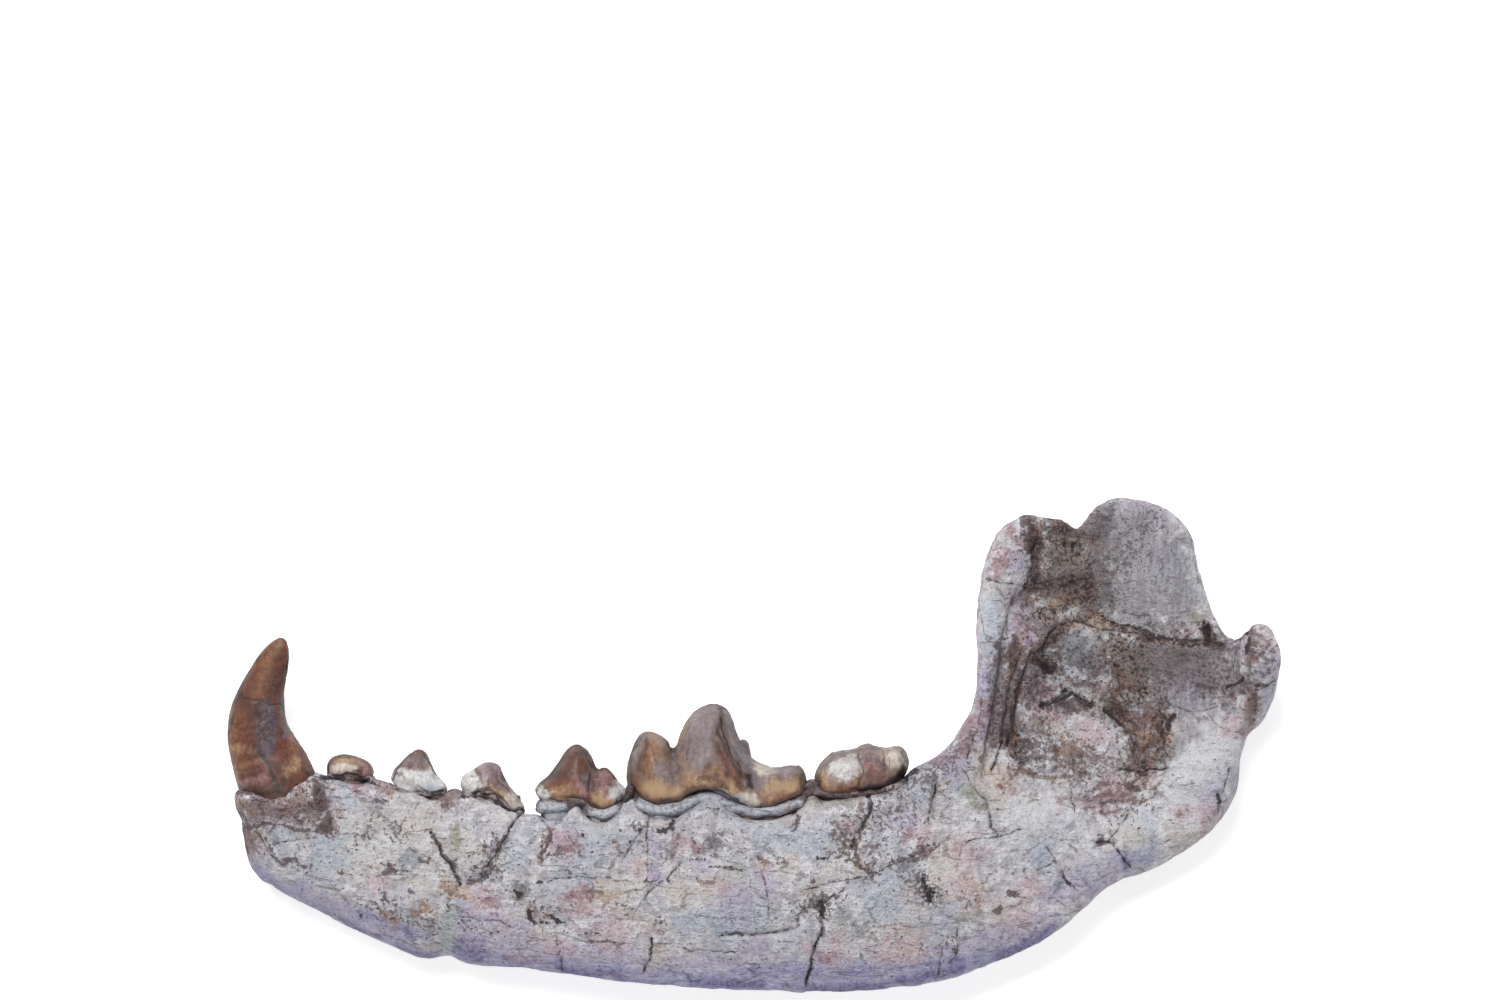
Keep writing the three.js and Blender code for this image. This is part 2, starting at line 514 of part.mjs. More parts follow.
/** The closed surface where field(x, y, z) is 0, found on a grid of tetrahedra. */
function meshOf(field, low, high, cell) {
  const counts = low.map((v, axis) => Math.ceil((high[axis] - v) / cell[axis]) + 1);
  const steps = [1, counts[0], counts[0] * counts[1]];
  const values = new Float64Array(steps[2] * counts[2]);
  const at = (n) => [0, 1, 2].map((axis) =>
    low[axis] + (Math.floor(n / steps[axis]) % counts[axis]) * cell[axis]);
  for (let n = 0; n < values.length; n++) values[n] = field(...at(n));

  const positions = [];
  const cornerOf = new Map();
  const cut = (inner, outer) => {
    const key = Math.min(inner, outer) * values.length + Math.max(inner, outer);
    if (!cornerOf.has(key)) {
      cornerOf.set(key, positions.length / 3);
      positions.push(...crossing(field, at(inner), at(outer), values[inner], values[outer]));
    }
    return cornerOf.get(key);
  };
  const index = [];
  const offsets = Array.from({ length: 8 }, (_, c) =>
    (c & 1) * steps[0] + ((c >> 1) & 1) * steps[1] + ((c >> 2) & 1) * steps[2]);
  for (let n = 0; n + offsets[7] < values.length; n++) {
    const atEdge = [0, 1, 2].some((axis) =>
      Math.floor(n / steps[axis]) % counts[axis] === counts[axis] - 1);
    if (atEdge) continue;
    for (const tetrahedron of TETRAHEDRA) {
      const nodes = tetrahedron.map((corner) => n + offsets[corner]);
      const inside = nodes.filter((node) => values[node] < 0).length;
      if (inside === 0 || inside === 4) continue;
      const order = EVEN_ORDERS.find((candidate) =>
        candidate.every((i, place) => values[nodes[i]] < 0 === place < inside));
      const ring = CUT_EDGES[inside].map(([a, b]) => cut(nodes[order[a]], nodes[order[b]]));
      index.push(ring[0], ring[1], ring[2]);
      if (ring.length === 4) index.push(ring[0], ring[2], ring[3]);
    }
  }
  const geometry = new THREE.BufferGeometry();
  geometry.setAttribute("position", new THREE.Float32BufferAttribute(positions, 3));
  geometry.setIndex(index);
  return geometry;
}

/** Where the surface crosses the line from an inner to an outer point. */
function crossing(field, inner, outer, innerValue, outerValue) {
  let [t0, v0, t1, v1] = [0, innerValue, 1, outerValue];
  let t = t0;
  for (let round = 0; round < CROSSING_ROUNDS; round++) {
    t = t0 + ((t1 - t0) * v0) / (v0 - v1);
    const value = field(...inner.map((v, axis) => THREE.MathUtils.lerp(v, outer[axis], t)));
    if (value < 0) {
      [t0, v0] = [t, value];
    } else {
      [t1, v1] = [t, value];
    }
    if (v0 === v1) break;
  }
  t = THREE.MathUtils.clamp(t, CROSSING_MARGIN, 1 - CROSSING_MARGIN);
  return inner.map((v, axis) => THREE.MathUtils.lerp(v, outer[axis], t));
}

/** Closes up the edges of a closed mesh while its surface moves by less than about an error. */
class Simplifier {
  constructor(geometry) {
    const position = geometry.getAttribute("position");
    const index = geometry.index.array;
    this.points = Array.from({ length: position.count }, (_, i) =>
      new THREE.Vector3().fromBufferAttribute(position, i));
    this.faces = Array.from({ length: index.length / 3 }, (_, f) =>
      [...index.slice(3 * f, 3 * f + 3)]);
    this.around = this.points.map(() => new Set());
    this.quadrics = this.points.map(() => new Float64Array(11));
    this.faces.forEach((face, f) => {
      const { normal, area } = this.plane(face);
      const d = -normal.dot(this.points[face[0]]);
      const { x, y, z } = normal;
      const terms = [x * x, x * y, x * z, x * d, y * y, y * z, y * d, z * z, z * d, d * d, 1];
      for (const corner of face) {
        this.around[corner].add(f);
        terms.forEach((term, i) => (this.quadrics[corner][i] += area * term));
      }
    });
  }

  /** A face's normal and area, with corners u and v moved to a new place if one is given. */
  plane(face, u = -1, v = -1, to = null) {
    const [p, q, r] = face.map((i) => (i === u || i === v ? to : this.points[i]));
    const normal = q.clone().sub(p).cross(r.clone().sub(p));
    const area = normal.length() / 2;
    return { normal: normal.divideScalar(2 * area || 1), area };
  }

  /** Where two joined corners go, and the mean squared distance that the surface then moves. */
  merged(u, v) {
    const q = this.quadrics[u].map((term, i) => term + this.quadrics[v][i]);
    const [a, b] = [this.points[u], this.points[v]];
    const places = [a.clone(), b.clone(), a.clone().lerp(b, 0.5)];
    const matrix = new THREE.Matrix3().set(q[0], q[1], q[2], q[1], q[4], q[5], q[2], q[5], q[7]);
    if (Math.abs(matrix.determinant()) > SINGULAR * q[10] ** 3) {
      places.push(new THREE.Vector3(-q[3], -q[6], -q[8]).applyMatrix3(matrix.invert()));
    }
    const length = a.distanceToSquared(b);
    const resting = Math.min(Math.abs(a.z), Math.abs(b.z)) < ON_SURFACE;
    let best = { cost: Infinity };
    for (const at of places) {
      if (resting) at.z = 0;
      const { x, y, z } = at;
      const squared = q[0] * x * x + q[4] * y * y + q[7] * z * z + q[9]
        + 2 * (q[1] * x * y + q[2] * x * z + q[3] * x + q[5] * y * z + q[6] * y + q[8] * z);
      const cost = Math.max(squared, 0) / Math.max(q[10], 1e-12) + LENGTH_COST * length;
      if (cost < best.cost && at.distanceToSquared(a) <= LONGEST_MOVE ** 2 * length) best = { cost, at };
    }
    return { ...best, quadric: q };
  }

  neighbours(corner) {
    const found = new Set();
    for (const f of this.around[corner]) this.faces[f].forEach((other) => found.add(other));
    found.delete(corner);
    return found;
  }

  /** Joins corner v to corner u at a new place, unless that would pinch or fold the surface. */
  join({ u, v, at, quadric }) {
    const beside = this.neighbours(v);
    const shared = [...this.neighbours(u)].filter((corner) => beside.has(corner));
    if (shared.length !== 2) return false;
    for (const f of [...this.around[u], ...this.around[v]]) {
      const face = this.faces[f];
      if (face.includes(u) && face.includes(v)) continue;
      const before = this.plane(face);
      const after = this.plane(face, u, v, at);
      if (before.normal.dot(after.normal) < FOLD_LIMIT && before.area > SLIVER) return false;
    }
    this.points[u] = at;
    this.quadrics[u] = quadric;
    for (const f of [...this.around[v]]) {
      const face = this.faces[f];
      if (face.includes(u)) {
        face.forEach((corner) => this.around[corner].delete(f));
        this.faces[f] = null;
      } else {
        face[face.indexOf(v)] = u;
        this.around[u].add(f);
      }
    }
    this.around[v].clear();
    return true;
  }

  /** Goes over all the edges, least needed first, until no edge is left that costs too little. */
  run(error) {
    for (let joined = 1; joined > 0;) {
      const edges = [];
      this.faces.forEach((face) => face?.forEach((u, i) => {
        const v = face[(i + 1) % 3];
        if (u > v) return;
        const merge = this.merged(u, v);
        if (merge.cost < error * error) edges.push({ u, v, ...merge });
      }));
      edges.sort((a, b) => a.cost - b.cost);
      const touched = new Set();
      joined = 0;
      for (const edge of edges) {
        if (touched.has(edge.u) || touched.has(edge.v) || !this.join(edge)) continue;
        this.neighbours(edge.u).forEach((corner) => touched.add(corner));
        touched.add(edge.u);
        joined++;
      }
    }
    return this;
  }

  geometry() {
    const index = [];
    const positions = [];
    const newIndex = new Map();
    for (const corner of this.faces.filter(Boolean).flat()) {
      if (!newIndex.has(corner)) {
        newIndex.set(corner, positions.length / 3);
        positions.push(...this.points[corner].toArray());
      }
      index.push(newIndex.get(corner));
    }
    const geometry = new THREE.BufferGeometry();
    geometry.setAttribute("position", new THREE.Float32BufferAttribute(positions, 3));
    geometry.setIndex(index);
    return geometry;
  }
}

function simplified(geometry, error) {
  return new Simplifier(geometry).run(error).geometry();
}

/** A mesh with every corner moved out along its normal. */
function swollen(geometry, by) {
  const grown = geometry.clone();
  grown.computeVertexNormals();
  const position = grown.getAttribute("position");
  const normal = grown.getAttribute("normal");
  for (let i = 0; i < position.count; i++) {
    const at = new THREE.Vector3().fromBufferAttribute(position, i);
    at.addScaledVector(new THREE.Vector3().fromBufferAttribute(normal, i), by);
    position.setXYZ(i, ...at.toArray());
  }
  return grown;
}

/** A closed mesh whose corners are shared, as a solid for joining and cutting. */
function solidOf(geometry) {
  return new wasm.Manifold(new wasm.Mesh({
    numProp: 3,
    vertProperties: geometry.attributes.position.array,
    triVerts: new Uint32Array(geometry.index.array),
  }));
}

/** A three.js primitive as a solid: its corners are shared once its normals and uv are gone. */
function primitiveSolid(geometry) {
  geometry.deleteAttribute("normal");
  geometry.deleteAttribute("uv");
  return solidOf(mergeVertices(geometry));
}

/** The largest piece of a solid as a three.js geometry. */
function geometryOf(solid) {
  const [largest] = solid.decompose().sort((a, b) => b.volume() - a.volume());
  const { vertProperties, triVerts } = largest.getMesh();
  const geometry = new THREE.BufferGeometry();
  geometry.setAttribute("position", new THREE.BufferAttribute(vertProperties, 3));
  geometry.setIndex(new THREE.BufferAttribute(triVerts, 1));
  return geometry;
}

/** A tapered root, made larger all round by grow. */
function rootSolid([px, py, tipX, tipY, halfLength, halfWidth], middle, grow = 0) {
  const neck = spot([px, py, middle]);
  const tip = spot([tipX, tipY, middle]);
  const length = neck.distanceTo(tip) + grow;
  const geometry = new THREE.CylinderGeometry(1, ROOT_TIP_SHARE, length, ROOT_SIDES);
  geometry.scale(halfLength + grow, 1, halfWidth + grow);
  geometry.translate(0, -length / 2, 0);
  const turn = new THREE.Quaternion().setFromUnitVectors(
    new THREE.Vector3(0, 1, 0), neck.clone().sub(tip).normalize());
  geometry.applyQuaternion(turn);
  geometry.translate(...neck.toArray());
  return primitiveSolid(geometry);
}

/** A tooth and the slightly larger solid that its socket is cut with. */
function toothAndSocket(tooth) {
  const limits = new THREE.Box3().setFromPoints([...tooth.ridge, ...tooth.base].map((pixel) =>
    spot([...pixel, tooth.middle])));
  for (const { tip, radii } of tooth.cusps ?? []) {
    limits.union(new THREE.Box3().setFromCenterAndSize(spot(tip), new THREE.Vector3()
      .setScalar(2 * radii[1])));
  }
  limits.expandByVector(new THREE.Vector3(0, 0, tooth.swell)).expandByScalar(2 * tooth.cell);
  const crown = simplified(meshOf(crownField(tooth), limits.min.toArray(), limits.max.toArray(),
    [tooth.cell, tooth.cell, tooth.cell]), TOOTH_ERROR);
  const rooted = (body, grow) => tooth.roots.reduce(
    (solid, root) => solid.add(rootSolid(root, tooth.middle, grow)), solidOf(body));
  return { solid: rooted(crown, 0), socket: rooted(swollen(crown, GAP), GAP) };
}

function canineAndSocket() {
  const body = simplified(
    meshOf(canineField(), CANINE_LOW, CANINE_HIGH, CANINE_CELL), TOOTH_ERROR);
  return { solid: solidOf(body), socket: solidOf(swollen(body, GAP)) };
}

/** The bone with the teeth's sockets cut into it, and flat where it rests. */
function boneSolid(sockets) {
  const bone = solidOf(simplified(meshOf(boneField(), BONE_LOW, BONE_HIGH, BONE_CELL), BONE_ERROR));
  const below = new THREE.BoxGeometry(2 * JAW_LENGTH, 2 * JAW_LENGTH, -2 * BONE_LOW[2]);
  below.translate(0, 0, BONE_LOW[2]);
  return sockets.reduce((solid, socket) => solid.subtract(socket), bone)
    .subtract(primitiveSolid(below));
}

/** One named mesh, without the slivers that joining and cutting leave. */
function part(name, solid) {
  const [color, roughness] = FINISHES[name];
  const material = new THREE.MeshStandardMaterial({ color, roughness, metalness: 0 });
  const mesh = new THREE.Mesh(simplified(geometryOf(solid), SLIVER_ERROR), material);
  mesh.name = name;
  return mesh;
}

const jaw = new THREE.Group();
const teeth = { canine: canineAndSocket() };
for (const [name, tooth] of Object.entries(TEETH)) teeth[name] = toothAndSocket(tooth);
for (const [name, { solid }] of Object.entries(teeth)) jaw.add(part(name, solid));
const sockets = Object.values(teeth).map(({ socket }) => socket);
jaw.add(part("jaw_bone", boneSolid(sockets)));

const box = new THREE.Box3().setFromObject(jaw);
jaw.position.set(-(box.min.x + box.max.x) / 2, -(box.min.y + box.max.y) / 2, -box.min.z);

export default jaw;
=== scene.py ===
"""The looks of a fossil half lower jaw and its seven teeth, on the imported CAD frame.

Each CAD node is copied, remeshed finely, carved with cracks and flakes, and painted with masks that
its material turns into stains. Places on the jaw are given as pixels of the side view, x to the
right and y down, and turned into millimetres by SideView. Sizes are millimetres unless a name says
otherwise.
"""

import functools
import itertools
import logging
import math
from dataclasses import dataclass
from enum import Enum

import bmesh
import bpy
import numpy as np
from mathutils import Matrix, Vector


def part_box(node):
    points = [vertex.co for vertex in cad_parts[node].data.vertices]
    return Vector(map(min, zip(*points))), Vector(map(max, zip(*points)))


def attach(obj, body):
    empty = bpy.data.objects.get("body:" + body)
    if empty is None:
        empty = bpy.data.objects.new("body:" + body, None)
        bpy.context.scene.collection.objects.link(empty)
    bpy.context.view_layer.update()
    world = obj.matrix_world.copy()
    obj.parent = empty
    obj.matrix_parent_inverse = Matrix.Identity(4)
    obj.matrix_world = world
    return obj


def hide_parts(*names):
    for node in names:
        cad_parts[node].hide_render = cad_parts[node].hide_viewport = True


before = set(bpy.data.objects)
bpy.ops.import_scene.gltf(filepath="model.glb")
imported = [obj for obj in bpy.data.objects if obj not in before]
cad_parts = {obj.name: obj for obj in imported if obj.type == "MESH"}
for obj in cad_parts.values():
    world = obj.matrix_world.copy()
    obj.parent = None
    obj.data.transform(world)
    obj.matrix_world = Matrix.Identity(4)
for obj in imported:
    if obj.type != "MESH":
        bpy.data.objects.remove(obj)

MM = 0.001
MERGED = 0.001
log = logging.getLogger("fossil_jaw")

Path = tuple[tuple[float, float], ...]


@functools.cache
def frame_box() -> tuple[np.ndarray, np.ndarray]:
    """Returns the lowest and highest corner of the CAD model, in millimetres."""
    boxes = [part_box(name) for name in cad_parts]
    low = np.min([np.array(box[0]) for box in boxes], axis=0) / MM
    high = np.max([np.array(box[1]) for box in boxes], axis=0) / MM
    return low, high


@dataclass(frozen=True)
class SideView:
    """The photograph's frame, with the jaw's limits in it in pixels.

    Attributes:
        mirror: The sum of a place's x in the outer view and in the inner view.
        drop: How far the outer view lies under the inner view.
    """

    left: float = 227.75
    right: float = 1278.72
    top: float = 496.38
    bottom: float = 993.12
    frame_width: float = 1500.0
    frame_height: float = 1000.0
    mirror: float = 1503.0
    drop: float = 495.0

    def scale(self) -> float:
        """Returns the millimetres that a pixel stands for."""
        low, high = frame_box()
        return (high[0] - low[0]) / (self.right - self.left)

    def place(self, x: float, y: float) -> tuple[float, float]:
        """Turns a pixel into a place on the jaw.

        Args:
            x: Pixels from the frame's left edge.
            y: Pixels from its top edge.

        Returns:
            The row frame's x and y, in millimetres.
        """
        scale = self.scale()
        return (x - (self.left + self.right) / 2) * scale, ((self.top + self.bottom) / 2 - y) * scale


VIEW = SideView()


class Side(Enum):
    """A face of the jaw: 1 is the outer face, -1 the inner. Its marks are in its own view's pixels."""

    OUTER = 1
    INNER = -1

    def line(self, path: Path) -> np.ndarray:
        """Turns pixels of this side's view into places on the jaw.

        Args:
            path: The pixels.

        Returns:
            Their x and y in millimetres, one row each.
        """
        if self is Side.INNER:
            path = tuple((VIEW.mirror - x, y + VIEW.drop) for x, y in path)
        return np.array([VIEW.place(*pixel) for pixel in path])


HASH = (73856093, 19349663, 83492791)
SEED_STEP = 2654435761
STIRS = ((13, 1274126177), (15, 668265263))


def lattice(cells: np.ndarray, seed: int) -> np.ndarray:
    """Gives each whole-numbered place a fixed value.

    Args:
        cells: Whole numbers, one row for each place.
        seed: Picks one of many such lattices.

    Returns:
        A value from -1 to 1 for each row.
    """
    mixed = cells @ np.array(HASH) + seed * SEED_STEP
    for shift, factor in STIRS:
        mixed = (mixed ^ (mixed >> shift)) * factor & 0x7FFFFFFF
    return (mixed >> 7 & 0xFFFF) / 32767.5 - 1


def noise(points: np.ndarray, size: float, seed: int, octaves: int = 1) -> np.ndarray:
    """Smooth noise at some points.

    Args:
        points: Their places, one row each.
        size: How far apart its coarsest lumps are.
        seed: Picks one of many such noises.
        octaves: How many finer layers it has, each half as high.

    Returns:
        A value from about -1 to 1 for each point.
    """
    total = np.zeros(len(points))
    for octave in range(octaves):
        scaled = points / size * 2**octave
        cell = np.floor(scaled).astype(np.int64)
        part = scaled - cell
        part = part * part * (3 - 2 * part)
        for corner in itertools.product((0, 1), repeat=3):
            weight = np.prod(np.where(corner, part, 1 - part), axis=1)
            total += weight * lattice(cell + corner, seed + octave) / 2**octave
    return total


def smoothstep(value: np.ndarray, low: float, high: float) -> np.ndarray:
    """Returns 0 below low, 1 above high and a smooth rise between."""
    part = np.clip((value - low) / (high - low), 0, 1)
    return part * part * (3 - 2 * part)


def beside(places: np.ndarray, line: np.ndarray,
           reach: float) -> tuple[np.ndarray, np.ndarray, np.ndarray]:
    """Finds the places near a line.

    Args:
        places: x and y in millimetres, one row each.
        line: The line's points, or a single one.
        reach: How far from the line a place may be.

    Returns:
        Which places are near, how far each is from the line, and whether it is on its left.
    """
    boxed = np.all((places > line.min(axis=0) - reach) & (places < line.max(axis=0) + reach), axis=1)
    index = np.flatnonzero(boxed)
    near = places[index]
    if len(line) == 1:
        return index, np.linalg.norm(near - line[0], axis=1), np.ones(len(index), bool)
    nearest = np.full(len(index), np.inf)
    left = np.zeros(len(index), bool)
    for start, end in itertools.pairwise(line):
        along = end - start
        share = np.clip((near - start) @ along / (along @ along), 0, 1)
        away = near - start - share[:, None] * along
        distance = np.linalg.norm(away, axis=1)
        closer = distance < nearest
        nearest[closer] = distance[closer]
        left[closer] = (along[0] * away[:, 1] - along[1] * away[:, 0] > 0)[closer]
    return index, nearest, left


class Grain(Enum):
    """The noises that break the borders of tones: how big their lumps are, and a seed."""

    BROAD = (3.4, 3.0)
    MIDDLE = (1.7, 5.0)
    FINE = (0.9, 9.0)
    DUST = (0.5, 14.0)
    STREAK = ((6.0, 0.7, 0.9), 21.0)
    STRIA = ((0.8, 5.0, 0.9), 23.0)


@dataclass(frozen=True)
class Tone:
    """A mottled colour that lies in patches on a surface.

    Attributes:
        colour: Its colour as shown, in hexadecimal.
        other: The colour that mottles it.
        cover: How much of what is under it it hides.
        softness: How wide its borders fade, from 0 for crisp to 1.
        broken: How far noise breaks its borders, below 0 with the noise's hollows for its lumps.
        grain: That noise.
        mottle: The noise that mixes its two colours.
    """

    colour: str
    other: str
    cover: float
    softness: float
    broken: float
    grain: Grain
    mottle: Grain = Grain.FINE


class BoneTone(Enum):
    """The tones of the bone, in the order in which they cover each other."""

    CREAM = Tone("e2dcd2", "cfc8c0", 0.5, 1.0, 1.0, Grain.BROAD)
    WHITE = Tone("f0f0f2", "d4d4da", 0.7, 0.8, -1.0, Grain.BROAD)
    BLUE = Tone("aab9cc", "c4cbd8", 0.55, 1.0, 0.9, Grain.BROAD)
    LILAC = Tone("a69cc0", "bfb4cc", 0.55, 1.0, -0.9, Grain.BROAD)
    PINK = Tone("c89ca6", "d6babf", 0.5, 1.0, 1.0, Grain.MIDDLE)
    STRAW = Tone("cbc59c", "dedbc2", 0.5, 1.0, 1.0, Grain.MIDDLE)
    GREY = Tone("858188", "a5a2a8", 0.78, 1.0, 0.7, Grain.BROAD, Grain.STRIA)
    ROSE = Tone("8d6069", "b0888f", 0.6, 0.8, 1.2, Grain.MIDDLE)
    SLATE = Tone("727982", "9aa1a8", 0.65, 0.7, 0.9, Grain.MIDDLE)
    OLIVE = Tone("83826c", "a8a592", 0.6, 0.8, -1.0, Grain.MIDDLE)
    PLASTER = Tone("acb5b4", "c0c6c6", 0.8, 0.4, 0.3, Grain.MIDDLE)
    LABEL = Tone("eef0f3", "e2e6ec", 0.96, 0.15, 0.12, Grain.MIDDLE)
    CEMENT = Tone("b6bac4", "d2d4da", 0.92, 0.6, 0.5, Grain.MIDDLE)
    CRUST = Tone("523c3e", "cabbbb", 0.85, 0.8, 1.2, Grain.MIDDLE)
    # SHADE darkens the fossa under the ledge, partly its own dark colour and partly painted shade; elsewhere
    # it is a dark grey-brown stain.
    SHADE = Tone("463c3e", "8e8486", 0.78, 1.0, 1.2, Grain.MIDDLE)
    MATRIX = Tone("3e2d2c", "b09a90", 0.82, 1.0, 1.3, Grain.MIDDLE)
    # VIOLET and PURPLE, laid along the lower rim, are partly the bone's own colour and partly painted bluish
    # shade on the underside that turns away.
    VIOLET = Tone("7578b2", "b9b6d2", 0.68, 1.0, 1.3, Grain.STREAK, Grain.STREAK)
    PURPLE = Tone("5a5288", "8a81aa", 0.66, 0.7, 0.9, Grain.STREAK)
    TAN = Tone("a67e5c", "d8c2a8", 0.55, 0.8, 1.3, Grain.MIDDLE)
    RUST = Tone("6c4032", "b8927e", 0.55, 0.9, 1.5, Grain.MIDDLE)
    BROWN = Tone("402a2a", "927871", 0.78, 0.7, 1.6, Grain.FINE)
    UMBER = Tone("2c2122", "6e5a5a", 0.85, 0.5, 1.4, Grain.FINE)
    FLECK = Tone("554a4c", "807576", 0.8, 0.4, 1.5, Grain.FINE, Grain.DUST)
    BLACK = Tone("221e20", "3c3536", 0.92, 0.4, 0.9, Grain.FINE)


class ToothTone(Enum):
    """The tones of the teeth, in the order in which they cover each other."""

    SAND = Tone("85654f", "9c7c62", 0.75, 1.4, 0.3, Grain.BROAD)
    LAVENDER = Tone("776a6e", "8c8084", 0.8, 1.4, 0.3, Grain.BROAD)
    MAUVE = Tone("655457", "7e6b6e", 0.85, 1.3, 0.4, Grain.MIDDLE)
    AMBER = Tone("74472b", "8e6042", 0.75, 1.5, 0.5, Grain.MIDDLE)
    GOLD = Tone("9a7656", "b89a7a", 0.75, 1.4, 0.5, Grain.MIDDLE)
    HONEY = Tone("b89c78", "a08460", 0.7, 1.3, 0.5, Grain.MIDDLE)
    CREAM = Tone("d4cbbf", "bcb0a4", 0.85, 1.1, 0.7, Grain.MIDDLE)
    CHALK = Tone("dedfde", "c2c0bf", 0.9, 0.9, 0.8, Grain.MIDDLE)
    ICE = Tone("a6acb8", "bfc2ca", 0.85, 0.7, 0.5, Grain.MIDDLE)
    ROSE = Tone("8f6464", "a67f80", 0.75, 1.0, 0.7, Grain.MIDDLE)
    RED = Tone("5a2b22", "733f33", 0.65, 1.5, 0.5, Grain.MIDDLE)
    BROWN = Tone("4a3029", "654539", 0.8, 1.2, 0.5, Grain.MIDDLE)
    STEEL = Tone("4c4750", "686370", 0.7, 1.3, 0.9, Grain.MIDDLE)
    # DARK is laid along the crowns' edges and under them as painted shade, and also marks some dark cracks
    # and stains.
    DARK = Tone("2b1d1b", "46342f", 0.85, 0.9, 0.6, Grain.FINE)
    BLACK = Tone("1b1517", "332a2a", 0.92, 0.6, 0.6, Grain.FINE)


@dataclass(frozen=True)
class Stain:
    """A patch of one tone, round or along a line.

    Attributes:
        tone: What colour it has.
        width: How far it reaches to each side, in pixels of the side view.
        path: Its middle line, in the same pixels.
        strength: Above 1 it is fuller and larger, below 1 it is broken up.
    """

    tone: BoneTone | ToothTone
    width: float
    path: Path
    strength: float = 1.0


@dataclass(frozen=True)
class Crack:
    """A crack or groove along a line of side-view pixels.

    Attributes:
        path: Its line.
        width: How wide it is at the surface.
        depth: How deep it is.
        dark: How dark it is inside, from 0 to 1.
    """

    path: Path
    width: float
    depth: float
    dark: float


@dataclass(frozen=True)
class Ledge:
    """A step in the surface, which is higher on the line's left.

    Attributes:
        path: Its line, as side-view pixels.
        height: How high the step is.
        reach: How far the raised part fades out over.
    """

    path: Path
    height: float
    reach: float


@dataclass(frozen=True)
class Swell:
    """A soft ridge along a line of side-view pixels, or a groove or hollow if its height is below 0.

    Attributes:
        path: Its line, or a single place.
        width: How far it reaches to each side, in pixels.
        height: How high it is.
    """

    path: Path
    width: float
    height: float


@dataclass(frozen=True)
class Rough:
    """A place where the surface is rough.

    Attributes:
        path: Its middle line, as side-view pixels.
        width: How far it reaches to each side, in pixels.
        height: How high its lumps are.
        size: How big they are.
    """

    path: Path
    width: float
    height: float
    size: float = 2.2


@dataclass(frozen=True)
class Marks:
    """All that is carved and painted on one face of a piece.

    Attributes:
        moved: How far its places go right and down from where its own view has them, in pixels, so
            that they lie on the piece, whose outline is the outer view's.
    """

    side: Side
    stains: tuple[Stain, ...] = ()
    cracks: tuple[Crack, ...] = ()
    ledges: tuple[Ledge, ...] = ()
    swells: tuple[Swell, ...] = ()
    roughs: tuple[Rough, ...] = ()
    moved: tuple[float, float] = (0.0, 0.0)

    def line(self, path: Path) -> np.ndarray:
        """Turns pixels of this face's view into places on the piece.

        Args:
            path: The pixels.

        Returns:
            Their x and y in millimetres, one row each.
        """
        right, down = self.moved
        return self.side.line(tuple((x + right, y + down) for x, y in path))


def strokes(text: str) -> list[tuple[list[float], Path]]:
    """Reads lines of side-view pixels.

    Args:
        text: Strokes with a slash between them, each some numbers and then its pixels as x,y. A
            stroke without numbers has those of the one before it.

    Returns:
        The numbers and the pixels of each stroke.
    """
    found, numbers = [], []
    for stroke in text.split("/"):
        words = stroke.split()
        numbers = [float(word) for word in words if "," not in word] or numbers
        path = tuple(tuple(map(float, word.split(","))) for word in words if "," in word)
        found.append((numbers, path))
    return found


def patches(tones: type[Enum], text: str) -> tuple[Stain, ...]:
    """Lists stains from a table such as "RUST 0.8: 5 120,340 131,352 / 3 90,77; TAN: 4 62,81".

    Args:
        tones: The tones that the names in the table stand for.
        text: For each tone its name, its strength if that isn't 1, a colon and its strokes with how
            far each reaches, and a semicolon between two tones.

    Returns:
        The stains.
    """
    found = []
    for entry in text.split(";"):
        head, lines = entry.split(":")
        name, *strength = head.split()
        found += [Stain(tones[name], width, path, *map(float, strength)) for (width,), path in strokes(lines)]
    return tuple(found)


def cracks(width: float, depth: float, text: str, dark: float = 0.9) -> tuple[Crack, ...]:
    """Lists cracks of one width and depth, each along its own stroke."""
    return tuple(Crack(path, width, depth, dark) for _, path in strokes(text))


def ledges(text: str) -> tuple[Ledge, ...]:
    """Lists ledges from strokes with a height and a reach."""
    return tuple(Ledge(path, *numbers) for numbers, path in strokes(text))


def swells(text: str) -> tuple[Swell, ...]:
    """Lists ridges and hollows from strokes with a width and a height."""
    return tuple(Swell(path, *numbers) for numbers, path in strokes(text))


def roughs(text: str) -> tuple[Rough, ...]:
    """Lists rough places from strokes with a width, a height and perhaps a size."""
    return tuple(Rough(path, *numbers) for numbers, path in strokes(text))
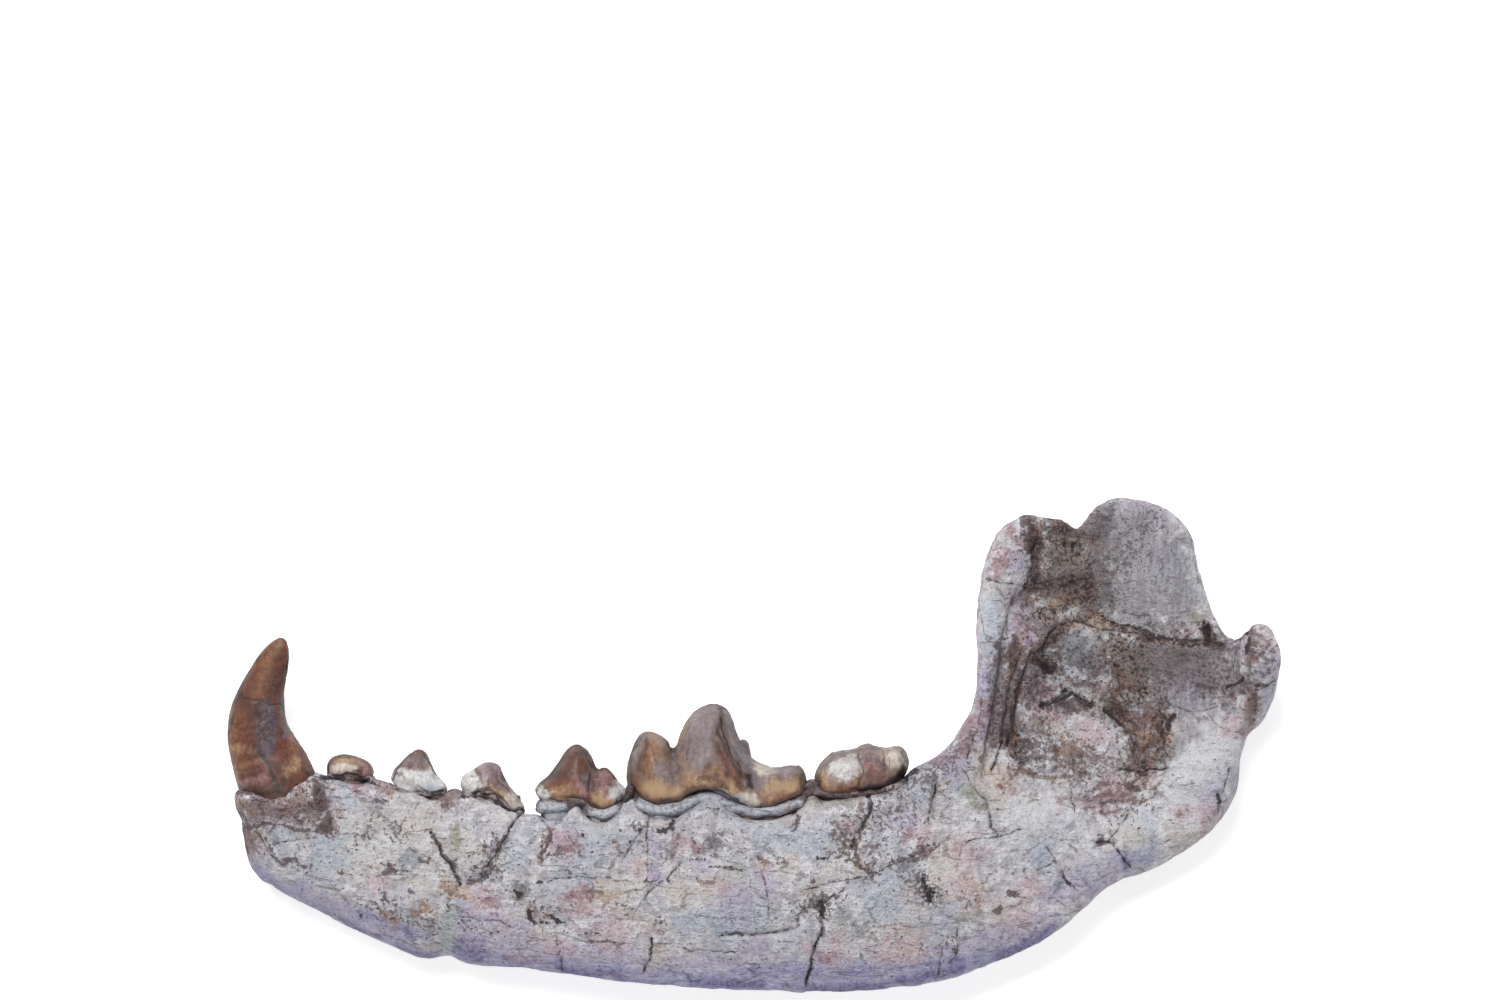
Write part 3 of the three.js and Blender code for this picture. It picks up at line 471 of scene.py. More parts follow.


# Along the lower rim VIOLET and PURPLE are partly painted bluish shade, and SHADE in the fossa is partly
# painted shade.
OUTER_STAINS = patches(BoneTone, """
    FLECK 0.1: 40 300,860 560,850 900,870 / 30 420,920 900,940;
    FLECK 0.42: 16 1050,640 1090,680 / 890,830 910,800 / 18 1130,690 1135,750 / 14 575,848 / 540,908 /
    1050,570 1090,590 / 12 375,905 440,925 / 845,820 870,830 / 1110,800 / 640,840 / 1165,650 1120,660 /
    10 965,898 / 1040,760 1010,745 / 470,920 / 985,700 995,740 / 1205,830 / 830,855 905,860 / 9 695,855 /
    945,945 / 8 360,840 380,800;
    CREAM: 30 355,850 400,840 / 22 425,872 / 14 470,845 / 600,815 / 1065,745 / 10 500,800 / 1170,760 /
    18 615,890 / 690,892 730,880 / 12 785,860 / 805,806 / 845,862 / 20 900,925 / 1125,835 / 16 945,855
    960,880 / 1005,800 1030,815 / 9 1085,757 / 1190,600 / 8 995,540 / 640,855 640,880;
    WHITE: 24 1180,790 1215,750 / 18 1150,812 / 12 1010,815 1040,803 / 9 440,872 / 715,862 / 630,822 /
    960,822 972,828 / 1050,740 / 10 345,800 345,815 / 985,605 988,640 / 1075,812 / 6 1205,732 / 778,862 /
    828,945 / 1068,613 / 8 848,862 853,846 / 1190,560 1198,600 / 830,900 / 7 505,877 516,879;
    BLUE: 18 330,848 / 880,905 / 12 288,836 / 345,795 / 1040,855 / 520,855 / 760,838 800,835 / 14 690,922
    770,916 / 1090,870 / 590,850 / 905,870 / 16 815,838 / 10 918,795 / 890,888 / 960,785 / 9 990,600
    988,650 / 446,950 / 665,972 705,978 / 560,878 590,872 / 1145,822 / 1188,590;
    LILAC: 7 656,838 656,876 / 12 560,830 / 905,822 / 700,868 / 1210,800 / 900,970 1050,915 / 1020,620
    1030,650 / 8 769,868 770,895 / 252,870 290,890 / 14 470,912 520,928 / 955,765 / 1150,560 / 760,950 /
    18 1060,890 1105,876 / 10 985,668 985,730 / 1266,700 / 1265,665 / 20 740,905 / 1185,690 / 16 1145,515 /
    9 300,888 400,932 / 1015,560 / 13 470,940 640,962 / 680,968 860,972;
    PINK: 16 580,897 / 1045,712 / 1092,735 / 562,842 / 18 612,932 / 965,850 / 14 560,948 / 835,952 /
    962,880 / 1255,640 / 482,900 / 22 903,946 / 12 1028,885 / 1020,914 / 296,782 / 922,832 / 1040,685 /
    1110,790 / 1205,815 / 8 1000,555 / 1010,530 / 808,948 / 1180,632 / 1060,800 / 10 362,785 / 680,842 /
    1228,725 / 375,880 / 765,868 / 885,955 / 1150,775 / 9 635,862 / 845,826 / 1180,812 / 720,885;
    GREY: 40 1130,540 1140,590 / 26 1165,560 1175,600 / 18 1100,515 / 24 1200,690 1175,700 / 10 1190,730
    1165,755 / 12 1020,600;
    ROSE: 6 270,790 300,800 / 1192,627 / 1000,560 996,575 / 920,848 / 660,930 / 7 360,786 / 1008,790 /
    1246,660 / 940,760 / 828,956 / 1085,800 1110,808 / 9 575,845 / 5 568,890 590,886 / 510,958 552,963 /
    696,846 / 10 1040,690 / 8 1000,742 986,700 / 970,720 960,750 / 1035,530 / 492,902 / 905,836 / 1105,690;
    SLATE: 9 404,855 411,856 / 521,884 / 715,840 / 842,914 / 1245,628 / 8 858,926 / 1068,702 1085,708 /
    905,865 / 5 348,779 / 455,862 / 386,866 / 7 258,818 / 12 1062,640 1078,655 / 4 934,780 930,812 /
    6 1100,842 / 1060,880;
    OLIVE: 6 456,828 455,842 / 812,797 850,800 / 1190,615 / 8 968,792 980,800 / 1035,725 / 480,800 /
    1125,700 / 4 958,916 978,910 / 14 1075,552 / 16 1078,590 / 9 1055,600 / 12 1112,702 / 7 520,890 /
    1100,540;
    PLASTER 1.2: 9 450,918 450,944;
    VIOLET: 7 254,872 281,890 322,911 371,935 416,953 436,956 / 8 456,958 520,966 592,975 682,983 740,986
    800,988 860,988 930,979 1000,957 1058,926 / 9 1120,858 1145,856 / 6 958,962 975,962 / 560,960 620,968;
    PURPLE: 11 464,948 478,950 / 4 560,967 622,975 / 812,987 880,986 / 756,966 / 408,930 415,940 /
    6 955,962 / 5 1000,954 1052,928 / 3 398,949 430,958 / 1130,850 1125,865 / 345,922 380,936;
    TAN: 7 465,890 / 422,903 428,908 / 975,882 / 1062,600 / 988,525 / 6 763,860 / 240,806 / 1015,640
    1008,680 / 1100,628 1085,622 / 9 605,893 / 992,772 / 1125,685 / 5 858,864 / 394,788 / 8 1065,748 /
    11 1145,738;
    RUST: 5 448,887 456,892 / 1135,770 / 3.5 426,910 / 4 661,944 / 860,852 / 956,894 / 960,905 / 976,896
    971,905 / 1180,813 / 387,788 / 6 248,835 250,850 / 1120,692 / 3 1020,885 / 8 1140,748 1146,725 /
    7 1249,698 1248,728;
    SHADE: 20 1130,655 1160,665 / 22 1195,668 / 16 1226,682 / 12 1160,700 / 14 1090,660 / 8 1215,690 /
    1225,705 / 10 1085,620 1110,632;
    BROWN: 6 446,794 458,792 / 1034,600 / 1040,642 1062,622 / 1010,745 / 9 1050,588 1080,588 / 1062,528 /
    1135,765 / 1120,680 / 7 1090,610 / 1120,712 / 8 1092,540 / 1180,655 / 11 1152,716 / 5 1020,650
    1006,720 / 865,868 / 1128,790 / 4 1246,650 1247,662 / 970,735;
    UMBER: 5 322,785 324,806 / 322,824 330,828 / 1037,546 1035,590 / 922,880 928,895 / 4 1028,552 1040,545 /
    1013,640 1010,665 / 1048,667 / 290,857 297,859 / 434,833 / 912,857 / 1062,692 / 1112,706 1120,716 /
    1140,750 / 1205,628 1206,642 / 1210,645 1222,646 / 1070,580 1088,588 / 1028,742 / 1100,842 / 3 1006,690
    1000,735 / 1038,662 / 377,797 385,800 / 921,848 / 865,870 / 1008,890 1016,890 / 545,853 / 1064,532
    1082,536 / 990,705 / 478,863 / 486,845 / 1125,786 1135,790 / 240,812 245,822 / 1242,625 / 1230,697 /
    1252,687 1262,685 / 445,800 / 2.5 305,867 313,865 / 993,911 1000,904 / 845,883 / 780,857 / 660,918 /
    391,865 384,869 / 410,889 / 815,880 / 3.5 470,881 480,877 488,873 / 952,948 / 1085,700 / 2 755,858;
    BLACK: 4.5 520,808 528,806 / 2 466,794 480,790 494,795 510,808 / 416,786 428,792 437,793 / 568,920 /
    490,934 / 600,930 / 1066,689 / 1062,875 1068,882 / 622,850 / 583,833 / 568,828 / 640,829 / 632,837 /
    432,931 / 363,912 / 377,903 / 670,877 / 1214,795 1217,803 / 1243,627 / 540,880 / 520,893 / 712,866 /
    705,858 / 818,858 826,856 / 3 664,826 676,821 / 822,905 821,912 / 905,776 918,770 / 554,911 560,916 /
    1090,704 / 1045,707 / 335,777 325,776 / 2.5 822,932 / 533,906 536,916 541,921 / 549,921 / 498,931 /
    446,908 / 588,931 / 627,796 / 948,940 / 4 862,788 885,785 905,778
""")
# In the ramus the SHADE in the fossa and the dark lines along the ledge and under the roof line are partly
# the matrix's dark colour and partly painted shadow.
RAMUS_STAINS = patches(BoneTone, """
    SHADE: 16 1098,520 1096,600 / 1150,690 1170,680 / 12 1030,605 1042,625 / 1225,672 1232,690 / 1040,650
    1030,690 / 1012,725 1020,760 / 20 1180,660 1205,662 / 9 1000,650 996,740 / 14 1060,525 1075,545;
    SHADE 1.3: 26 1150,655 1205,660 / 12 1206,682 1238,688;
    SHADE 0.7: 9 1255,640 1264,668 / 14 1100,650 1150,700;
    SHADE 0.75: 15 1112,650 1150,668 / 13 1130,690 1156,704;
    MATRIX 1.15: 18 1062,545 1066,585 / 10 1045,585 1085,590 / 1160,720 1155,752 / 14 1120,652 1135,685 /
    12 1118,705 1140,730 1146,762 / 6 1045,612 1066,604 / 1034,535 1038,580 / 1040,658 1052,672 / 9 1010,735
    1016,755 / 5 1066,622 1046,640 1034,656;
    MATRIX 0.55: 16 1040,745 1080,765 / 14 1075,690 1100,700 / 10 1130,775 1150,790;
    MATRIX 1.3: 3.5 1047,638 1065,622 1093,616 1115,627 1143,638 1193,641 1214,641 / 4 1200,622 1212,640;
    GREY 1.1: 13 1078,650 1092,662 / 9 1050,625 1062,650;
    SLATE 1.2: 8 1062,704 1082,708;
    ROSE 0.85: 16 1030,680 1045,700 / 9 1000,700 992,740 / 12 1030,620 1024,640 / 5 1020,600 1012,650
    1005,700 / 10 1060,745 1085,760 / 970,730 985,700 / 8 1100,790 1130,800 / 1012,530 1020,545;
    WHITE 0.8: 4 1056,600 1066,604 / 1120,720 / 1105,655 / 3 1048,596 / 5 1060,575;
    TAN: 5 1118,712 1130,735 / 4 1140,745 / 1056,604;
    RUST 0.9: 3 1026,655 1017,700 1012,745 / 5 1120,700 1140,735 / 1128,740 1146,765 / 1010,772 1004,784 /
    1150,720 1163,738 / 4 1075,624 1050,636 / 6 1250,700 1247,730;
    BROWN 0.95: 5 1030,515 1035,530 1033,552 1038,574 1030,588 / 3 1066,620 1045,637 1030,654 / 1079,528
    1090,538 / 1252,690 1250,722 / 2.2 1058,640 1060,668 1072,684 1092,682 1103,664 1100,642 / 1014,690
    1019,655 1046,638 1066,622 / 2 1020,770 1045,778 1070,772 / 1000,742 1005,700 1010,668 1022,648 /
    990,700 985,740 980,760 / 1128,770 1150,776 1140,788 / 1088,790 1100,782 1118,786 / 3.5 1036,588
    1054,580 1072,574 1090,581 1086,595 1061,599 / 1.8 1010,740 1018,700 1030,665 / 1095,796 1110,790
    1125,796 1138,804 / 1132,806 1150,798 1160,782 / 2.5 1104,705 1122,726 1132,755 1143,765 / 1.6 1100,812
    1120,806 / 4 1247,632 1247,662;
    BROWN 0.75: 6 1050,711 1066,704 1084,704 1092,710 / 5 1106,664 1120,676 1134,690;
    UMBER 0.9: 3 1030,522 1034,556 / 1112,698 1124,712 1134,728 / 1196,686 1212,690 / 4.5 1036,661
    1051,671 / 1.8 1024,652 1014,700 1006,745 / 2.4 1206,624 1208,640 / 1078,697 1092,703 / 1044,580
    1062,577 1084,586 / 1028,660 1018,690 1012,730 / 1056,632 1042,648 1026,664 / 1140,752 1152,744
    1160,730 / 2.5 1040,586 1060,579 / 2 1044,705 1054,698 1070,690 / 1106,708 1124,728 / 1003,728
    1012,745 / 1184,650 1200,658 / 4 1060,706 1078,712 / 1052,709 1064,702 1076,699 1086,705 / 2.6 1024,520
    1028,548 1036,574 / 2.2 1100,800 1116,796;
    FLECK 0.5: 30 1050,560 1080,590 / 24 1130,670 1180,660 / 18 1120,720 1140,760 / 1045,745 1085,770 /
    20 1040,700 1030,750 / 22 1120,800 / 16 1100,530 1105,590 / 1120,560 1150,520 / 8 1252,650 / 12 1014,640
    1006,720;
    BLACK: 1.6 1100,617 1125,627 1160,635 1198,640 / 2 1205,622 1206,642 / 1047,706 1060,698 1071,690 /
    1104,706 1120,724 / 1226,690 1240,682 / 1243,634 1244,656 / 2.5 1172,716 1166,726 / 3 1041,664
    1050,671 / 1.5 1006,746 1016,700 1026,664
""")
# VIOLET and PURPLE along the lower rim are partly painted bluish shade.
FRONT_STAINS = patches(BoneTone, """
    CRUST 0.95: 17 252,806 290,806 / 18 300,800 318,800 / 7 326,816 333,828 / 8 241,796 240,812;
    TAN 0.36: 16 256,806 312,806;
    TAN 0.85: 8 420,905 432,912 / 6 462,890 470,896 / 5 398,918 / 384,908 392,914 / 7 445,885 455,892;
    VIOLET 0.42: 10 250,800 272,802 / 9 262,822 290,824;
    VIOLET 0.9: 6 254,874 283,893 300,901;
    VIOLET 0.95: 6 300,899 324,912 373,935 418,952 / 5 350,908 380,918 425,934;
    VIOLET 1.05: 8 470,956 560,967 682,980 800,985 900,981 1000,953 / 7 740,972 900,970 960,958;
    BROWN 0.6: 14 256,810 318,808 / 7 246,832 252,860 / 12 308,815 328,824 / 6 245,806 270,812;
    BROWN 0.95: 8 252,830 257,850;
    BROWN 0.5: 6 380,785 392,794 / 384,910 400,922 / 536,905 545,918 / 958,752 966,738 / 8 440,797 458,802 /
    4 486,905 / 930,790 950,782 / 7 545,915 560,905 / 5 600,930 585,932 / 915,772 950,758;
    BROWN 0.85: 3.5 550,826 545,845 541,860 / 2.5 616,838 620,852 614,862 / 680,830 676,842 672,856 /
    762,852 768,860 / 700,880 716,884 / 585,885 600,888 / 2 775,862 786,860 / 2.2 832,830 840,840 838,850
    848,860 / 4 659,918 / 3 508,836 500,850 492,866 / 860,800 854,815;
    WHITE 0.55: 26 350,840 440,845 / 20 400,880 / 22 1030,830 1100,845 / 16 960,870;
    WHITE 0.8: 7 292,790 / 6 305,782 / 312,795 / 5 284,806 / 262,812;
    GREY 0.9: 6 270,812 285,818 / 5 300,800 308,812;
    ROSE 0.8: 7 262,800 290,812;
    FLECK 0.45: 16 262,806 300,810;
    FLECK 0.6: 10 840,832 / 950,760 972,735 / 14 885,812 905,806 / 9 905,862 925,845 / 12 1075,748
    1105,762 / 885,790 945,770;
    FLECK 0.7: 10 715,838 / 398,828 / 640,826 / 12 838,830 846,850 / 812,905 824,900 / 500,845 490,868 /
    915,880 930,890 / 9 872,845 / 560,850 / 8 520,884;
    UMBER: 2 262,806 266,814 / 280,808 288,806 / 296,814 304,820 / 1.8 312,798 316,806 / 245,829 269,823
    292,827 334,832 / 3 246,830 248,856 / 316,776 322,800 / 2.2 236,790 262,794 282,790 306,778 /
    2.4 322,806 334,828;
    UMBER 0.85: 2 544,840 548,855 / 850,876 872,872 / 912,852 932,840 / 382,891 389,897 / 340,868 352,874 /
    560,866 572,869 / 618,900 630,906 / 2.5 884,866 905,857 / 853,845 860,866 / 2.2 804,906 812,900 824,900
    836,891 / 1.8 716,864 738,867 / 3 868,802 862,822 / 2.4 420,856 430,858;
    UMBER 0.95: 2 551,830 546,842 543,856 / 790,808 796,815 794,826 / 432,828 440,842 452,862 462,882 /
    268,838 278,852 286,862 / 812,906 822,902 826,893 / 2.2 868,802 862,822 856,840 854,862 862,872 /
    2.6 480,878 492,867;
    SLATE: 8 815,900 / 6 668,842 / 604,858;
    CREAM: 8 842,830 850,846 / 500,820 / 6 860,815;
    PURPLE 1.1: 10 462,946 480,952 / 4 690,980 760,985 / 900,980 960,968;
    RUST 0.75: 4 388,908 384,914 / 410,912 415,918 / 540,908 552,912 / 530,900 536,912 / 546,848 /
    5 450,889 / 382,787 390,792 / 6 444,798 456,803;
    RUST 0.85: 4 858,842 / 3 487,848 / 490,862 / 616,850 / 792,812;
    BLACK: 2.5 922,876 929,896 / 1.6 555,912 566,918 / 514,886 522,890
""")
OUTER_CRACKS = (
    *cracks(0.55, 0.9, """
        820,900 822,932 815,945 811,960 806,984 / 1043,706 1056,700 1066,689 1078,697 1092,704 / 866,792
        870,800 868,812 862,822 855,834 851,845
    """),
    *cracks(0.36, 0.6, """
        433,830 438,842 444,852 452,862 458,872 464,884 / 522,812 512,826 505,840 494,856 490,864 / 524,812
        540,811 552,813 562,818 / 722,933 745,931 778,931 798,925 800,914 804,904 / 652,937 650,955
        645,968 / 463,794 480,790 494,795 508,807 520,811 / 1036,545 1030,575 1022,590 / 1020,650 1006,700
        1000,740 990,770 / 1030,652 1016,690 1012,735 / 1204,622 1205,640 1220,645 / 1040,650 1050,632
        1066,621 / 1120,768 1140,771 1165,768 / 932,775 934,790 926,818 / 1096,841 1112,842 1118,852
        1128,865 / 340,776 372,776
    """),
    *cracks(0.22, 0.3, """
        250,818 265,840 280,862 / 540,815 551,830 545,842 543,850 / 550,880 560,875 600,875 635,880
        660,878 / 680,862 668,878 655,885 645,895 638,905 632,916 / 648,815 648,880 / 840,815 858,817
        864,824 / 838,826 846,838 855,843 / 806,886 830,880 846,878 870,874 885,866 900,859 918,852 /
        845,886 830,895 812,905 / 787,807 796,812 795,822 790,827 / 955,864 960,845 975,836 1000,835
        1018,828 / 1035,868 1052,862 / 1060,870 1065,880 1076,888 / 1045,843 1054,862 / 600,820 612,812
        622,803 628,792 / 582,806 590,815 604,820 / 644,803 652,812 675,812 692,806 704,797 714,796 728,804
        748,815 / 664,940 690,948 735,949 / 470,916 498,918 512,924 / 590,940 622,940 / 557,935 562,968 /
        640,832 630,846 622,858 / 700,808 718,806 / 940,945 938,965 935,978 / 955,925 955,950 948,962 /
        921,935 918,950 / 1006,612 1005,640 1000,662 / 985,578 1010,583 1035,590 1060,588 / 1070,618
        1100,628 1150,636 1204,640 / 1066,621 1090,617 1104,625 / 1106,708 1120,722 1136,735 / 1118,752
        1124,766 / 1070,790 1073,812 / 1176,705 1190,712 1222,706 / 1128,812 1115,830 1106,842 / 980,700
        975,730 965,760 / 995,560 1000,545 / 960,765 975,790 988,800 / 985,800 990,825 1000,835 / 1240,650
        1262,652 1275,645 / 1246,682 1262,686 1272,678 / 1252,696 1254,730 / 1245,640 1247,665 / 1228,768
        1218,795 1216,812 / 278,842 300,838 318,836 / 255,800 268,802 285,795 / 350,795 360,790 372,796 /
        758,855 763,870 768,895 / 768,903 769,918 / 412,870 395,868 382,862
    """, dark=0.75),
    *cracks(0.15, 0.15, """
        300,868 330,880 350,900 / 560,852 590,856 620,850 / 690,832 700,850 / 725,850 745,838 / 730,865
        748,866 / 560,905 600,915 650,918 / 530,935 560,940 590,938 / 780,835 800,842 830,848 / 775,912
        720,917 690,912 / 870,925 895,922 915,926 / 900,790 895,812 / 880,820 876,842 870,850 / 1080,760
        1100,768 1112,762 / 1000,850 1030,848 1045,843 / 1020,925 1045,918 / 1000,905 1030,900 / 1090,780
        1120,782 1140,778 / 1190,540 1196,575 1203,600 / 985,640 1000,638 / 978,600 984,640 / 1090,880
        1110,872 / 1150,845 1170,838 / 1165,720 1180,716 / 355,930 390,935 420,948 / 500,945 540,950
        570,955 / 600,960 640,962 700,975 / 730,960 770,965 790,960 / 850,965 890,968 930,960 / 420,800
        415,812 / 300,905 345,920
    """, dark=0.55),
)
OUTER_LEDGES = ledges("""
    0.55 4 1212,641 1160,638 1105,629 1068,618 / 0.6 3 1090,706 1078,699 1068,691 1044,708 / 0.5 4 1130,735
    1108,708 1096,700 / 1172,775 1140,774 1118,762 1100,742 / 0.3 5 800,905 800,925 778,931 722,933 /
    0.25 4 660,878 604,875 552,880 / 0.45 5 330,778 336,800 336,830 300,840 262,830 / 0.35 4 806,984 815,945
    822,925 818,900 / 0.3 4 464,884 452,862 438,842 432,826 / 490,866 506,838 524,812 / 0.25 4 1018,828
    975,836 955,864
""")
OUTER_SWELLS = swells("""
    3.5 -1.1 1014,604 1008,622 1003,648 999,690 990,735 984,775 / 4 -0.9 1026,650 1014,666 1018,690
    1010,722 / 9 0.5 990,560 988,620 986,690 / 2.5 0.5 1012,640 1008,680 1001,730 / 9 -1.5 1050,666 /
    8 -0.9 1069,701 / 5 -0.7 1036,550 1036,590 / 6 -0.7 1070,583 1090,588 / 5 0.5 1066,612 / 6 0.4 1060,600
    1085,606 / 2.5 -0.9 1205,625 1206,642 1220,645 / 5 0.5 1213,634 / 9 -0.7 1150,712 1140,755 /
    4 -0.5 1120,770 1165,772 / 12 0.5 1075,652 / 6 0.6 1170,720 1166,760 / 3 -0.6 1096,842 1116,842 /
    2.5 -0.6 1062,873 1075,887 / 4 -0.6 935,775 930,810 / 2.5 -0.8 664,826 678,821 / 3 -0.5 470,880
    488,874 / 5 -0.5 512,884 524,884 / 3 -0.5 1252,695 1247,730 / 3 -0.6 1245,628 / 12 0.35 606,830
    606,868 / 14 0.35 668,835 668,870 / 14 0.3 752,835 752,870 / 10 0.3 557,830 557,862 / 12 0.3 400,815
    405,850 / 3 -0.4 262,835 275,855 / 6 -0.3 540,905 560,918 / 4 -0.5 922,882 928,898
""")
OUTER_ROUGHS = roughs("""
    22 0.45 300,795 300,815 / 26 0.4 1050,560 1085,590 / 26 0.3 1060,640 1100,690 / 24 0.45 1140,700
    1135,750 / 18 0.3 1110,790 1140,790 / 18 0.3 1.6 980,700 1010,760 / 14 0.3 1020,520 1040,545 /
    18 0.25 1030,760 1060,770 / 16 0.2 1.6 380,910 560,915 / 20 0.2 1.6 840,820 900,830 / 8 0.3 1.5 900,780
    820,797 / 8 0.2 1.5 530,812 640,812
""")
